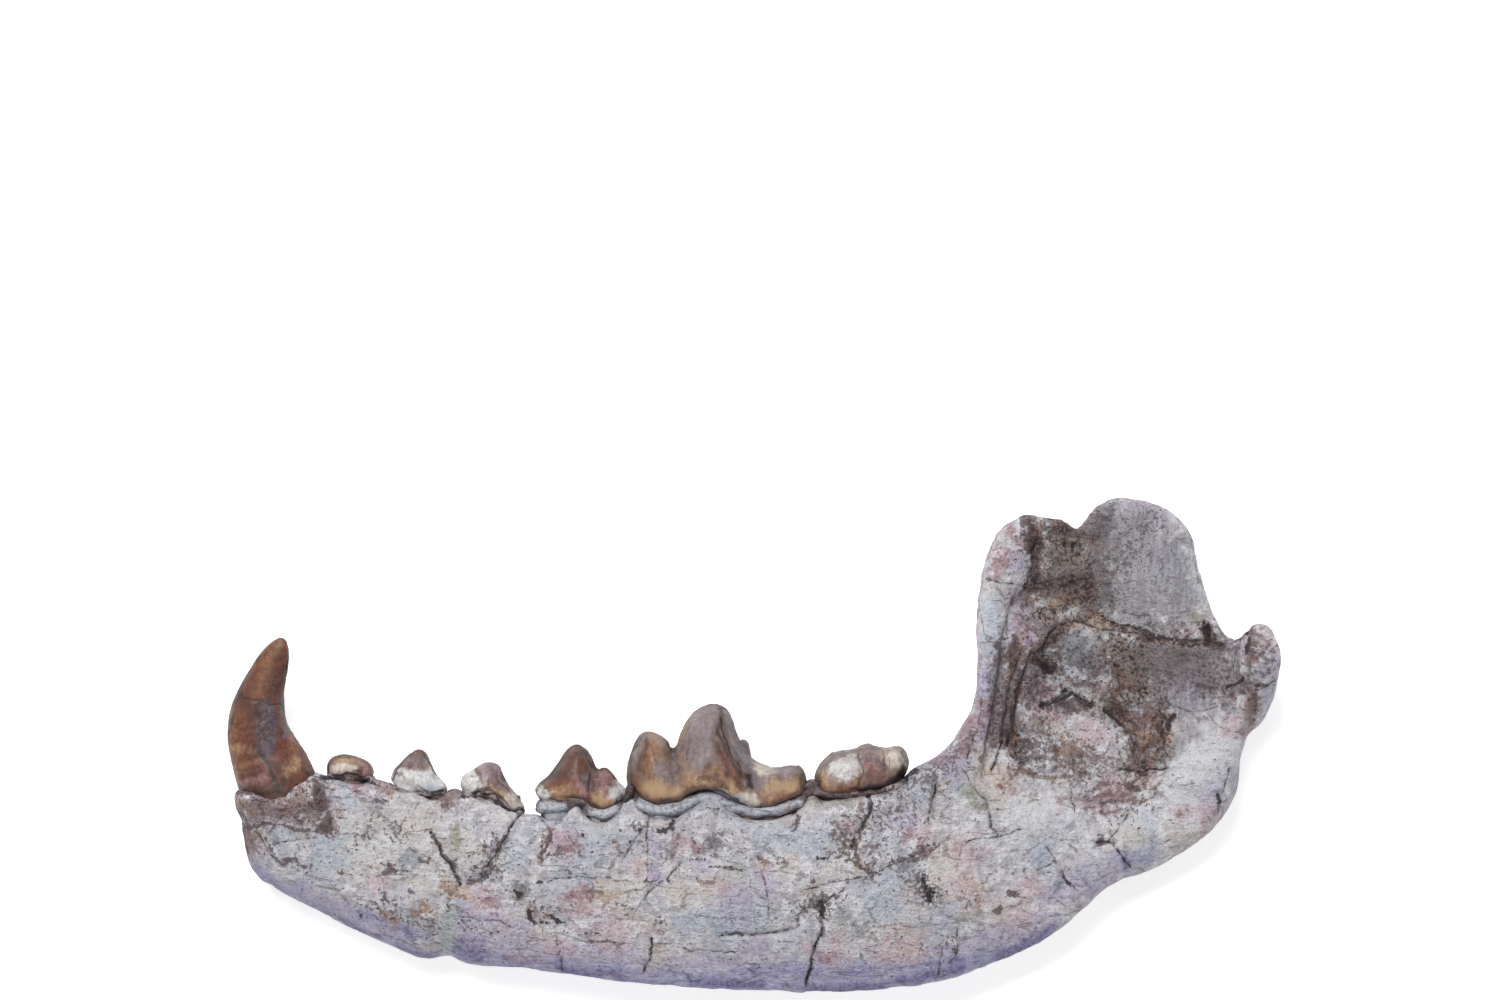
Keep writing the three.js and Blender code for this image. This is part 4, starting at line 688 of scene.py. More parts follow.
# VIOLET and PURPLE along the lower rim are partly painted bluish shade.
INNER_STAINS = patches(BoneTone, """
    FLECK 0.1: 40 700,380 1000,360 / 30 480,400 620,420 / 340,60 380,240;
    FLECK 0.45: 18 400,20 430,40 / 490,45 510,80 / 1240,320 1230,390 / 22 1150,350 1160,370 / 16 400,110
    430,100 / 520,260 540,270 / 14 350,340 365,360 / 1205,320 1225,300 / 550,415 / 12 985,400 1000,420 /
    825,325;
    FLECK 0.8: 12 1150,345 1165,362 / 1262,350 1255,385 / 348,320 373,365 / 1190,345 1200,360 / 14 1215,320
    1208,300 / 10 1228,385 / 655,348 / 1135,370 1150,375 / 9 972,437;
    CREAM: 20 355,55 340,75 / 16 310,225 360,215 / 720,340 / 14 400,95 / 760,450 / 910,435 960,438 / 600,350
    605,335 / 12 492,245 / 1160,325 1175,340 / 1240,305 / 465,115 / 22 460,395 510,400 / 18 665,415 /
    30 870,350 940,360 / 32 1070,365 1100,378;
    WHITE: 24 250,185 245,222 / 12 252,245 / 470,165 / 1245,290 1255,330 / 440,305 460,310 / 1150,310
    1180,310 / 610,440 / 14 505,150 520,222 / 470,110 / 515,372 / 1220,400 1205,415 / 1190,375 /
    10 668,312 / 990,345 / 3 446,230 450,250;
    BLUE: 26 790,330 815,315 / 14 965,310 985,330 / 250,215 262,205 / 690,470 / 620,465 / 20 1025,320
    1070,322 / 440,325 470,335 / 16 360,245 385,250 / 10 400,285 / 8 1100,462 1080,465 / 510,160 512,190 /
    1005,400 1003,380 / 9 1203,340 / 12 355,125 345,110;
    LILAC: 14 315,65 325,95 / 460,45 475,75 / 470,150 460,190 / 930,405 890,415 / 850,470 930,462 / 520,460
    600,475 / 16 392,45 385,70 / 560,300 575,315 / 12 318,300 335,318 / 1130,305 1150,300 / 1190,360 /
    720,465 / 1060,440 1050,425 / 10 275,250 315,252 / 1260,275 1265,290 / 860,300 855,325;
    PINK: 30 350,30 345,60 / 530,315 575,345 / 16 315,145 350,140 / 960,375 985,358 / 10 468,185 / 1220,255
    1215,265 / 1080,405 1062,412 / 12 500,215 / 455,402 / 465,110 / 985,430 / 640,425 / 520,120 525,140 /
    790,440 / 14 375,300 385,325 / 840,355 848,385 / 750,330 725,332 / 18 1110,425 1150,410;
    STRAW: 9 872,308 878,318 / 8 1212,300 1208,315 / 1052,436 / 480,425 / 10 930,438;
    GREY 0.9: 26 390,235 430,260 / 20 405,165 415,195 / 22 470,285 420,300 / 14 620,405 610,425 / 16 405,60
    410,85;
    ROSE: 9 515,308 540,325 556,342 / 10 298,270 315,280 / 400,185 365,175 / 290,205 310,198 / 5 330,268
    365,292 / 8 462,45 478,80 / 265,135 / 1000,446 / 1090,446 / 1060,302 / 325,150 345,152 / 505,218 /
    7 840,350 838,365 / 1155,350 / 748,472 / 520,265 538,275 / 12 740,330 765,335 / 6 680,395 688,412 /
    1150,425;
    SLATE: 14 435,320 455,345 / 8 1135,345 / 1135,372 1150,370 / 1205,335 / 770,463 785,462 / 430,140
    432,160 / 6 1103,326 / 1160,390 / 880,382 / 640,345 632,335 / 5 1128,325 1133,335 / 605,386 / 225,205 /
    432,295 445,285 / 4 1141,310 / 10 830,420 840,425 / 12 440,255 470,262;
    OLIVE: 8 728,445 / 318,278 / 465,425 / 14 405,170 415,200 / 6 325,172 / 1035,434 / 10 395,205 380,195;
    LABEL: 20 716,380 794,380 / 21 712,403 790,405 / 32 730,393 780,393;
    SHADE: 13 400,85 415,90 / 12 395,305 420,322 / 16 400,130 420,135 / 10 365,190 / 495,60 505,85 /
    14 440,90 436,120 / 9 380,15 425,36;
    SHADE 0.6: 9 1150,345 1165,362 / 1215,320 / 730,433 / 8 1265,360 1255,380;
    MATRIX 1.1: 7 430,38 440,62 452,86 440,100 / 10 437,105 437,140 / 8 385,104 410,106 436,99 / 9 365,180
    366,196;
    MATRIX 0.9: 8 705,432 735,436 / 7 348,318 358,332 / 356,347 373,367 / 972,437 / 655,348 / 6 1228,385
    1232,402 / 512,253 522,263 / 4 1228,352 1226,370 1242,370 / 5 400,316 380,300 / 585,436 / 565,458;
    VIOLET 0.8: 8 268,252 300,250 326,262 / 520,470 560,480 610,487 660,490 / 850,482 930,476 1005,466 /
    1078,463 1105,464 / 9 735,484 775,487 / 1130,448 1165,434 1195,414 / 7 1255,352 1262,358 / 1190,362;
    PURPLE 0.75: 5 845,480 890,479 / 1252,353 1266,356 / 1268,360 1254,392 / 340,274 362,290 / 6 1140,442
    1160,436 / 1182,416 1196,408 / 4 745,486 772,488 / 985,468 1010,465 / 575,480 640,487;
    TAN: 18 520,415 565,418 / 9 383,345 / 305,195 335,195 / 370,362 / 8 878,398 / 968,360 / 760,448
    795,444 / 505,230 / 10 1210,300 1212,322 / 395,75 385,95 / 7 790,350 / 6 598,352 / 1060,308;
    RUST: 8 525,420 545,430 / 6 552,398 568,405 / 383,343 / 320,195 335,197 / 888,366 896,378 / 822,420 /
    460,200 480,192 495,188 / 312,150 / 392,70 383,90 / 7 968,362 / 1000,446 / 300,272 / 1055,302 /
    5 965,346 / 343,278 / 758,458 782,456 / 432,182 / 1085,446 1105,444 / 782,352 / 410,105 385,118;
    BROWN: 5 340,178 360,168 378,157 / 340,180 356,194 372,206 390,213 / 432,172 440,190 / 965,440 980,432 /
    1232,355 / 1055,300 1080,300 / 4 445,365 462,363 490,376 505,383 / 306,90 306,112 292,142 / 592,302
    598,325 / 705,437 726,452 756,456 785,452 / 575,400 577,435 / 833,445 838,466 / 665,388 682,402 /
    1052,410 1064,418 1080,416 1100,402 1118,396 1126,380 1136,366 / 530,272 545,280 / 6 268,142 / 480,200
    465,212 / 340,312 352,326 / 1150,343 1165,358;
    UMBER: 5 448,72 456,88 / 437,100 437,122 / 3 437,128 436,150 / 272,140 268,150 / 345,322 356,334 /
    418,80 / 483,228 / 525,262 / 1228,380 1236,384 / 1222,352 1226,370 1238,372 / 975,398 / 985,396 /
    1006,404 / 716,446 722,464 / 1225,303 1228,320 / 1202,318 1208,332 / 966,345 / 1148,340 1162,337 /
    1128,366 1140,362 / 330,338 345,352 / 690,422 694,436 / 420,30 432,44 / 390,12 402,22 / 508,112
    522,120 / 333,199 / 574,396 577,420 / 4 342,176 352,190 / 362,352 374,368 / 418,92 / 510,250 514,264 /
    1002,418 1010,424 / 880,364 892,374 / 722,466 718,482 728,494 / 1262,340 1268,352 / 2.5 283,290 300,313
    330,339 352,357 378,373 / 1196,335 1212,338 / 528,388 540,398 / 1012,416 1020,422;
    BLACK: 2.5 285,156 295,166 305,178 / 560,362 574,367 / 625,386 634,395 648,398 / 1000,436 985,433 /
    1228,298 1250,287 1270,300 / 600,292 620,300 642,302 / 583,283 598,294 / 3 493,341 / 1000,308 1020,301 /
    1052,297 1085,299 / 1100,294 1130,292 / 3.5 532,350 540,363 554,376 / 4.5 590,376 / 4 652,345 660,352 /
    2 700,430 712,440 / 617,302 621,316 / 815,297 824,304 / 520,380 528,388
""")
INNER_CRACKS = (
    *cracks(0.5, 0.8, """
        285,155 295,166 306,178 / 325,262 345,275 365,291 382,302 400,316 424,326 / 628,386 636,395
        650,398 / 716,445 723,464 718,480 729,494 / 340,178 356,193 372,205 390,213 412,218 440,217
    """),
    *cracks(0.34, 0.5, """
        340,178 360,168 378,156 / 430,38 438,60 452,88 440,102 437,140 437,160 / 902,393 925,391 945,388
        966,382 988,378 1012,371 / 1048,405 1056,417 1078,418 1098,404 1116,397 1122,384 1136,365 / 1075,420
        1076,441 / 720,309 742,312 757,308 776,302 792,296 808,296 822,303 / 822,303 833,318 842,330 /
        1000,322 1008,336 1018,346 1021,358 1012,372 / 815,380 828,396 829,412 838,434 834,452 840,468 /
        592,300 598,325 603,345 / 530,350 540,363 555,378 / 665,385 681,401 688,416 692,428 / 500,383
        487,375 470,367 448,365 / 1000,436 1016,441 1036,451 1052,461 / 573,392 576,416 580,442
    """),
    *cracks(0.22, 0.3, """
        490,350 510,356 530,355 / 640,398 645,420 656,436 673,451 / 880,456 900,452 916,450 940,449 962,447
        985,450 / 895,425 920,423 940,420 960,426 980,428 / 1020,361 1050,358 1080,355 1102,352 / 490,105
        510,107 530,110 / 500,118 525,121 / 378,105 410,104 440,99 / 1043,309 1045,332 / 1020,416 1047,418 /
        978,382 981,400 986,422 / 700,430 724,450 755,455 786,452 800,448 / 617,300 622,318 / 600,293
        622,302 646,304 660,312 / 440,100 465,97 485,108 / 360,245 385,250 402,262 / 940,300 950,310
        952,330 / 1008,300 1000,318 / 300,230 330,222 360,214 / 310,240 345,228 375,218 / 340,285 365,300 /
        430,300 445,288 460,292 / 500,275 520,262 548,280 / 790,360 812,372 820,384
    """, dark=0.75),
    *cracks(0.15, 0.15, """
        320,60 350,75 380,70 / 330,100 360,110 / 310,120 340,124 / 395,40 390,80 / 460,120 470,145 / 505,130
        508,180 / 520,140 526,200 / 860,330 865,350 / 900,340 950,345 / 720,350 760,352 / 580,400 640,396 /
        1060,330 1100,326 / 1080,390 1110,385 / 450,240 480,250 / 550,320 590,335 / 430,390 450,405 /
        1190,320 1180,345 / 1250,310 1262,330
    """, dark=0.55),
)
INNER_LEDGES = ledges("""
    0.5 4 424,326 400,316 366,291 345,275 326,262 / 440,218 390,213 356,194 340,178 378,156 /
    0.35 4 1136,365 1122,384 1098,404 1078,418 1056,417 / 0.3 4 1012,371 966,382 902,393 / 0.35 3 842,330
    822,303 792,296 757,308 720,309 / 0.3 4 505,383 487,375 448,365 / 0.35 4 603,345 598,325 592,300
""")
INNER_SWELLS = swells("""
    6 -0.8 438,60 452,88 438,120 / 4 -0.5 437,105 437,150 / 10 -0.8 365,185 / 5 -0.5 268,143 /
    8 0.45 515,140 520,215 / 16 0.6 250,190 245,225 / 4 -0.4 305,196 335,198 / 6 -0.5 350,325 370,362 /
    6 -0.8 655,348 / 4 -0.8 590,376 / 3 -0.5 493,341 / 536,358 552,376 / 7 -0.4 710,436 740,440 /
    8 -0.5 972,438 / 12 -0.3 1155,352 / 7 -0.5 1230,392 / 3 -0.4 1228,352 1226,370 / 5 -0.4 512,255
    540,276 / 16 0.3 530,315 575,345 / 12 0.3 290,225 360,222 / 4 -0.4 882,366 896,380 / 966,346 /
    6 0.3 835,420
""")
INNER_ROUGHS = roughs("""
    14 0.3 1.6 400,20 432,42 / 20 0.3 1.8 495,45 515,90 / 18 0.35 410,110 440,100 / 20 0.3 1.8 1150,350
    1160,370 / 20 0.35 1210,310 / 18 0.35 1235,380 / 22 0.2 1.6 1250,320 / 16 0.35 360,345 /
    26 0.25 1.6 550,415 / 18 0.35 1.6 990,405 / 16 0.3 520,262 / 16 0.25 1.6 320,195 / 14 0.2 1.4 825,325
""")


def node_box(node: str) -> tuple[np.ndarray, np.ndarray]:
    """Returns the lowest and highest corner of a CAD node, in millimetres."""
    low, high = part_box(node)
    return np.array(low) / MM, np.array(high) / MM


def node_copy(node: str) -> bpy.types.Mesh:
    """Copies a CAD node's mesh, with its points merged."""
    work = bmesh.new()
    work.from_mesh(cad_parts[node].data)
    bmesh.ops.remove_doubles(work, verts=work.verts, dist=MERGED * MM)
    mesh = bpy.data.meshes.new(f"{node}_looks")
    work.to_mesh(mesh)
    work.free()
    return mesh


class Skin:
    """The fine surface of one piece.

    Attributes:
        CRACK_WANDER: The noises that make cracks run unevenly, each with its size and shift.
        STAIN_WANDER: The same for stains.
        FADE: How far a point leans to a face where that face's marks start and where they are full.
        STAIN_FADE: The same for stains.
        SLOPE: How wide a ledge's slope is.
        FAR: How far from a crack its line is noted.
        DEEP: The depth from which on a crack gets a finer mesh.
        MARGIN: How far that mesh reaches beside it.
        LEANING: How far an edge leans to a face to count as a part of it.
        TOO_LONG: How many times the wanted length an edge has when it is halved.
        WANDER_SEED: Picks the first of the noises that shift lines and borders.
        LUMP_SEED: Picks the first of those that cover the surface, each of which is a SEED_GAP on.
        ROUGH_SEED: Picks the noise of the rough places.
    """

    CRACK_WANDER = ((7.0, 0.25), (2.0, 0.3), (0.8, 0.12))
    STAIN_WANDER = ((12.0, 0.5), (4.0, 0.7), (1.6, 0.45))
    FADE = (-0.35, 0.1)
    STAIN_FADE = (-0.5, 0.05)
    SLOPE = 0.35
    FAR = 1.2
    DEEP = 0.5
    MARGIN = 0.3
    LEANING = 0.1
    TOO_LONG = 1.45
    WANDER_SEED = 40
    LUMP_SEED = 7
    SEED_GAP = 3
    ROUGH_SEED = 31

    def __init__(self, mesh: bpy.types.Mesh, box: tuple[np.ndarray, np.ndarray],
                 voxel: float, smoothing: int) -> None:
        """Remeshes a closed shape.

        Args:
            mesh: The shape.
            box: The lowest and highest corner that the piece must stay in.
            voxel: The new mesh's spacing.
            smoothing: How many rounds of smoothing take the facets out.
        """
        self.box = box
        self.mesh = self.modified(mesh, [
            ("REMESH", {"mode": "VOXEL", "voxel_size": voxel * MM, "adaptivity": 0.0}),
            ("SMOOTH", {"factor": 0.5, "iterations": smoothing}),
        ])

    def modified(self, mesh: bpy.types.Mesh, steps: list[tuple[str, dict]]) -> bpy.types.Mesh:
        """Runs modifiers on a mesh.

        Args:
            mesh: The mesh to start from.
            steps: Each modifier's kind and settings.

        Returns:
            The finished mesh.
        """
        carrier = bpy.data.objects.new("carrier", mesh)
        bpy.context.scene.collection.objects.link(carrier)
        for kind, settings in steps:
            modifier = carrier.modifiers.new(kind, kind)
            for name, value in settings.items():
                setattr(modifier, name, value)
        graph = bpy.context.evaluated_depsgraph_get()
        made = bpy.data.meshes.new_from_object(carrier.evaluated_get(graph))
        made.name = mesh.name
        bpy.data.objects.remove(carrier)
        return made

    def points(self) -> np.ndarray:
        """Returns the points' places in millimetres, one row each."""
        flat = np.zeros(len(self.mesh.vertices) * 3, np.float32)
        self.mesh.vertices.foreach_get("co", flat)
        return flat.reshape(-1, 3).astype(float) / MM

    def normals(self) -> np.ndarray:
        """Returns the points' normals, one row each."""
        flat = np.zeros(len(self.mesh.vertices) * 3, np.float32)
        self.mesh.vertex_normals.foreach_get("vector", flat)
        return flat.reshape(-1, 3).astype(float)

    def move(self, points: np.ndarray) -> None:
        """Puts the points at new places, given in millimetres."""
        self.mesh.vertices.foreach_set("co", (points * MM).astype(np.float32).ravel())
        self.mesh.update()

    def facing(self, side: Side, fade: tuple[float, float] = FADE) -> np.ndarray:
        """Returns how far each point lies on a face of the jaw, from 0 to 1."""
        return smoothstep(self.normals()[:, 2] * side.value, *fade)

    def wander(self, points: np.ndarray, layers: tuple[tuple[float, float], ...]) -> np.ndarray:
        """Shifts x and y by noise, so that lines and borders run unevenly.

        Args:
            points: The places to shift.
            layers: Each noise's size and how far it shifts.

        Returns:
            The shifted x and y.
        """
        moved = points[:, :2].copy()
        for seed, (size, shift) in enumerate(layers):
            for axis in (0, 1):
                moved[:, axis] += shift * noise(points, size, self.WANDER_SEED + 2 * seed + axis, 2)
        return moved

    def refine(self, marks: tuple[Marks, ...], spacing: float, outer: float) -> None:
        """Makes the mesh finer along deep cracks and on the outer face.

        Args:
            marks: The marks whose cracks need a finer mesh.
            spacing: The longest edge along a crack.
            outer: The longest edge on the outer face.
        """
        for _ in range(2):
            work = bmesh.new()
            work.from_mesh(self.mesh)
            work.edges.ensure_lookup_table()
            points, normals = self.points(), self.normals()
            ends = np.array([[edge.verts[0].index, edge.verts[1].index] for edge in work.edges])
            length = np.linalg.norm(points[ends[:, 0]] - points[ends[:, 1]], axis=1)
            lean = normals[ends].mean(axis=1)[:, 2]
            wanted = np.where(lean > self.LEANING, outer, np.inf)
            shifted = self.wander(points[ends].mean(axis=1), self.CRACK_WANDER)
            for face in marks:
                for crack in face.cracks:
                    if crack.depth >= self.DEEP:
                        reach = crack.width + self.MARGIN
                        index, distance, _ = beside(shifted, face.line(crack.path), reach)
                        chosen = index[distance < reach]
                        wanted[chosen[lean[chosen] * face.side.value > -self.LEANING]] = spacing
            long = np.flatnonzero(length > self.TOO_LONG * wanted)
            bmesh.ops.subdivide_edges(work, edges=[work.edges[i] for i in long], cuts=1)
            bmesh.ops.triangulate(work, faces=[f for f in work.faces if len(f.verts) > 4])
            work.to_mesh(self.mesh)
            work.free()

    def roughen(self, layers: tuple[tuple[float, float, int], ...], marks: tuple[Marks, ...]) -> None:
        """Raises and sinks the surface by noise.

        Args:
            layers: Each noise's size, height and number of octaves.
            marks: The marks, for the places that are rougher than the rest.
        """
        points, normals = self.points(), self.normals()
        rise = sum(height * noise(points, size, self.LUMP_SEED + self.SEED_GAP * i, octaves)
                   for i, (size, height, octaves) in enumerate(layers))
        for face in marks:
            here = self.facing(face.side)
            for rough in face.roughs:
                reach = rough.width * VIEW.scale()
                index, distance, _ = beside(points[:, :2], face.line(rough.path), 1.5 * reach)
                lumps = noise(points[index], rough.size, self.ROUGH_SEED, 3)
                rise[index] += here[index] * rough.height * lumps * smoothstep(-distance / reach, -1.5, -0.5)
        self.move(points + normals * rise[:, None])

    def carve(self, marks: tuple[Marks, ...]) -> None:
        """Shapes ridges, hollows, ledges and cracks, and keeps the piece inside its box."""
        points, normals = self.points(), self.normals()
        place = self.wander(points, self.CRACK_WANDER)
        rise = np.zeros(len(points))
        for face in marks:
            here = self.facing(face.side)
            for swell in face.swells:
                reach = swell.width * VIEW.scale()
                index, distance, _ = beside(place, face.line(swell.path), 2.5 * reach)
                rise[index] += here[index] * swell.height * np.exp(-((distance / reach) ** 2))
            for ledge in face.ledges:
                index, distance, left = beside(place, face.line(ledge.path), 2.5 * ledge.reach)
                step = 0.5 + np.where(left, 0.5, -0.5) * smoothstep(distance, 0, self.SLOPE)
                fade = np.exp(-((distance / ledge.reach) ** 2))
                rise[index] += here[index] * ledge.height * step * fade
            for crack in face.cracks:
                index, distance, _ = beside(place, face.line(crack.path), 3 * crack.width)
                rise[index] -= here[index] * crack.depth * np.exp(-((distance / crack.width) ** 2) * 2)
        self.move(np.clip(points + normals * rise[:, None], *self.box))

    def draw(self, marks: tuple[Marks, ...]) -> None:
        """Notes for each point how the nearest crack passes it.

        A point on a crack's left has a distance above 0 and one on its right below 0, so that the
        material finds the crack's line between the points of the mesh.
        """
        points, normals = self.points(), self.normals()
        place = self.wander(points, self.CRACK_WANDER)
        nearest, line = np.full(len(points), self.FAR), np.full(len(points), self.FAR)
        ink, width = np.zeros(len(points)), np.zeros(len(points))
        for face in marks:
            here = self.facing(face.side)
            for crack in face.cracks:
                index, distance, left = beside(place, face.line(crack.path), self.FAR)
                closer = (distance < nearest[index]) & (here[index] > 0)
                index, distance, left = index[closer], distance[closer], left[closer]
                nearest[index] = distance
                line[index] = np.where(left, distance, -distance)
                ink[index] = crack.dark * here[index] * (1 - distance / self.FAR)
                width[index] = crack.width / 2
        # How far each point faces sideways, by which the material paints shade on the sides.
        self.note("turned", 1 - np.abs(normals[:, 2]))
        self.note("line", line)
        self.note("ink", ink)
        self.note("width", width)

    def paint(self, marks: tuple[Marks, ...], tones: type[Enum]) -> list[Enum]:
        """Notes for each tone how strongly each point is stained with it.

        Args:
            marks: The marks with their stains.
            tones: All tones that the piece may have.

        Returns:
            The tones that it has.
        """
        points = self.points()
        place = self.wander(points, self.STAIN_WANDER)
        values = {}
        for face in marks:
            here = self.facing(face.side, self.STAIN_FADE)
            for stain in face.stains:
                value = values.setdefault(stain.tone, np.zeros(len(points)))
                width = stain.width * VIEW.scale()
                index, distance, _ = beside(place, face.line(stain.path), 2 * width)
                full = here[index] * stain.strength * (1 - distance / width / 2)
                value[index] = np.maximum(value[index], full)
        present = [tone for tone in tones if tone in values]
        for tone in present:
            self.note(tone.name.lower(), values[tone])
        return present

    def dress(self, marks: tuple[Marks, ...], lumps: tuple[tuple[float, float, int], ...],
              tones: type[Enum]) -> list[Enum]:
        """Roughens, carves and paints the surface.

        Args:
            marks: The marks of both faces.
            lumps: The size, height and number of octaves of each noise that covers all of it.
            tones: All tones that the piece may have.

        Returns:
            The tones that it has.
        """
        self.roughen(lumps, marks)
        self.carve(marks)
        self.draw(marks)
        return self.paint(marks, tones)

    def note(self, name: str, values: np.ndarray) -> None:
        """Keeps a number for each point, which the material reads by its name."""
        attribute = self.mesh.attributes.new(name, "FLOAT", "POINT")
        attribute.data.foreach_set("value", values.astype(np.float32))

    def piece(self, name: str, material: bpy.types.Material,
              node: str | None = None) -> bpy.types.Object:
        """Makes the piece.

        Args:
            name: Its name.
            material: The finish of all of its surface.
            node: The CAD node that it stands for, if it stands for one.

        Returns:
            The new object, riding on the frame.
        """
        for polygon in self.mesh.polygons:
            polygon.use_smooth = True
        self.mesh.materials.clear()
        self.mesh.materials.append(material)
        made = bpy.data.objects.new(name, self.mesh)
        bpy.context.scene.collection.objects.link(made)
        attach(made, "root")
        if node is not None:
            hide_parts(node)
        faces = sum(len(polygon.vertices) - 2 for polygon in self.mesh.polygons)
        log.info("%s has %d triangles", made.name, faces)
        return made


def linear(colour: str) -> tuple[float, float, float, float]:
    """Turns a colour as shown into the one that the shader works with.

    Args:
        colour: Six hexadecimal digits.

    Returns:
        Red, green, blue and 1.
    """
    shown = [int(colour[i:i + 2], 16) / 255 for i in (0, 2, 4)]
    return (*[v / 12.92 if v <= 0.04045 else ((v + 0.055) / 1.055) ** 2.4 for v in shown], 1.0)


Socket = bpy.types.NodeSocket


class Shader:
    """A material and the nodes that make its finish.

    Attributes:
        BENDER: The noise that bends nets of cells.
        BORDER: How far noise moves the borders of tones.
        CRISP: Half the width of a crisp border's fade.
        SOFT: How much wider it is for a softness of 1.
        START: The mask's value from which on a tone may show.
        MOTTLE: The noise's values between which a tone's two colours change.
        JAGGED: How far noise moves a crack's line, in millimetres.
        HAIR: The least width of a crack's line.
        UNEVEN: How a noise changes that width.
        EDGE: How a crack's colour fades out across it.
        PATCHY: How a noise thins the ink along it.
        DARKER_BAND: How the darker band beside it fades out.
    """

    BENDER = {"Scale": 1.6, "Detail": 5.0, "Roughness": 0.6}
    BORDER = 2.4
    CRISP = 0.04
    SOFT = 0.3
    START = 0.08
    MOTTLE = (-0.09, 0.09)
    JAGGED = 0.7
    HAIR = 0.02
    UNEVEN = (-0.12, 0.14, 0.3, 1.7)
    EDGE = (0.5, 1.7, 1.0, 0.0)
    PATCHY = (-0.14, 0.08, 0.35, 1.0)
    DARKER_BAND = (0.1, 0.8, 0.5, 0.0)

    def __init__(self, name: str) -> None:
        """Starts a material with one Principled shader."""
        self.material = bpy.data.materials.new(name)
        self.material.use_nodes = True
        self.tree = self.material.node_tree
        self.surface = self.tree.nodes["Principled BSDF"]
        self.places = self.tree.nodes.new("ShaderNodeTexCoord").outputs["Object"]
        self.grains: dict[Grain, Socket] = {}

    def feed(self, socket: Socket, value: Socket | float | tuple) -> None:
        """Joins a socket to another one, or sets its value."""
        if isinstance(value, bpy.types.NodeSocket):
            self.tree.links.new(value, socket)
        else:
            socket.default_value = value

    def add(self, kind: str, inputs: dict[str | int, Socket | float | tuple],
            **settings: str) -> bpy.types.Node:
        """Adds a node.

        Args:
            kind: Its type.
            inputs: What each of its inputs is joined to or set to.
            **settings: Its own settings.

        Returns:
            The node.
        """
        node = self.tree.nodes.new(kind)
        for name, value in settings.items():
            setattr(node, name, value)
        for name, value in inputs.items():
            self.feed(node.inputs[name], value)
        return node

    def mapped(self, sizes: tuple[float, float, float], turn: float) -> Socket:
        """Returns Object coordinates measured in sizes, turned about Z by some degrees."""
        node = self.add("ShaderNodeMapping", {
            "Vector": self.places,
            "Scale": tuple(size * MM for size in sizes),
            "Rotation": (0.0, 0.0, math.radians(turn)),
        }, vector_type="TEXTURE")
        return node.outputs["Vector"]

    def noise(self, size: float | tuple[float, float, float], detail: float, roughness: float,
              seed: float = 0.0, turn: float = 0.0) -> Socket:
        """Adds noise on Object coordinates.

        Args:
            size: Its lumps' size, or one along each axis.
            detail: How many finer layers it has.
            roughness: How strong those are.
            seed: Picks one of many such noises.
            turn: How far it is turned about Z, in degrees.

        Returns:
            Its value, from 0 to 1.
        """
        sizes = size if isinstance(size, tuple) else (size, size, size)
        node = self.add("ShaderNodeTexNoise", {
            "Vector": self.mapped(sizes, turn), "W": seed, "Scale": 1.0, "Detail": detail,
            "Roughness": roughness,
        }, noise_dimensions="4D")
        return node.outputs["Fac"]

    def cells(self, size: tuple[float, float, float], bend: float,
              turn: float = 0.0) -> tuple[Socket, Socket]:
        """Adds a net of cells on Object coordinates, bent by noise.

        Args:
            size: The cells' size along each axis.
            bend: How far noise bends their edges, in cells.
            turn: How far the net is turned about Z, in degrees.

        Returns:
            The distance to the nearest edge in cells, and a number of its own for each cell.
        """
        places = self.mapped(size, turn)
        bender = self.add("ShaderNodeTexNoise", {"Vector": places, **self.BENDER})
        shift = self.add("ShaderNodeVectorMath", {
            0: bender.outputs["Color"], 1: (bend, bend, bend), 2: places,
        }, operation="MULTIPLY_ADD")
        edges, numbers = (
            self.add("ShaderNodeTexVoronoi", {"Vector": shift.outputs[0], "Scale": 1.0}, feature=feature)
            for feature in ("DISTANCE_TO_EDGE", "F1"))
        return edges.outputs["Distance"], numbers.outputs["Color"]

    def maths(self, operation: str, first: Socket | float, second: Socket | float) -> Socket:
        """Adds a Math node and returns its result."""
        return self.add("ShaderNodeMath", {0: first, 1: second}, operation=operation).outputs[0]

    def times(self, first: Socket, second: Socket | float) -> Socket:
        """Returns the product of two values."""
        return self.maths("MULTIPLY", first, second)

    def ramp(self, value: Socket, low: float, high: float, start: float = 0.0,
             end: float = 1.0) -> Socket:
        """Maps a value smoothly.

        Args:
            value: What is mapped.
            low: Where the result is start.
            high: Where it is end.
            start: The result at low and beyond it.
            end: The result at high and beyond it.

        Returns:
            The mapped value.
        """
        node = self.add("ShaderNodeMapRange", {
            "Value": value, "From Min": low, "From Max": high, "To Min": start, "To Max": end,
        }, interpolation_type="SMOOTHSTEP")
        return node.outputs["Result"]

    def mask(self, name: str) -> Socket:
        """Returns the number that Skin.note kept under a name."""
        return self.add("ShaderNodeAttribute", {}, attribute_name=name).outputs["Fac"]

    def blend(self, share: Socket | float, under: Socket | tuple, over: Socket | tuple,
              kind: str = "MIX") -> Socket:
        """Lays one colour over another.

        Args:
            share: How much of the upper colour shows.
            under: The lower colour.
            over: The upper colour.
            kind: The blend mode.

        Returns:
            The mixed colour.
        """
        node = self.add("ShaderNodeMix", {"Factor": share, "A": under, "B": over},
                        data_type="RGBA", blend_type=kind)
        return node.outputs["Result"]

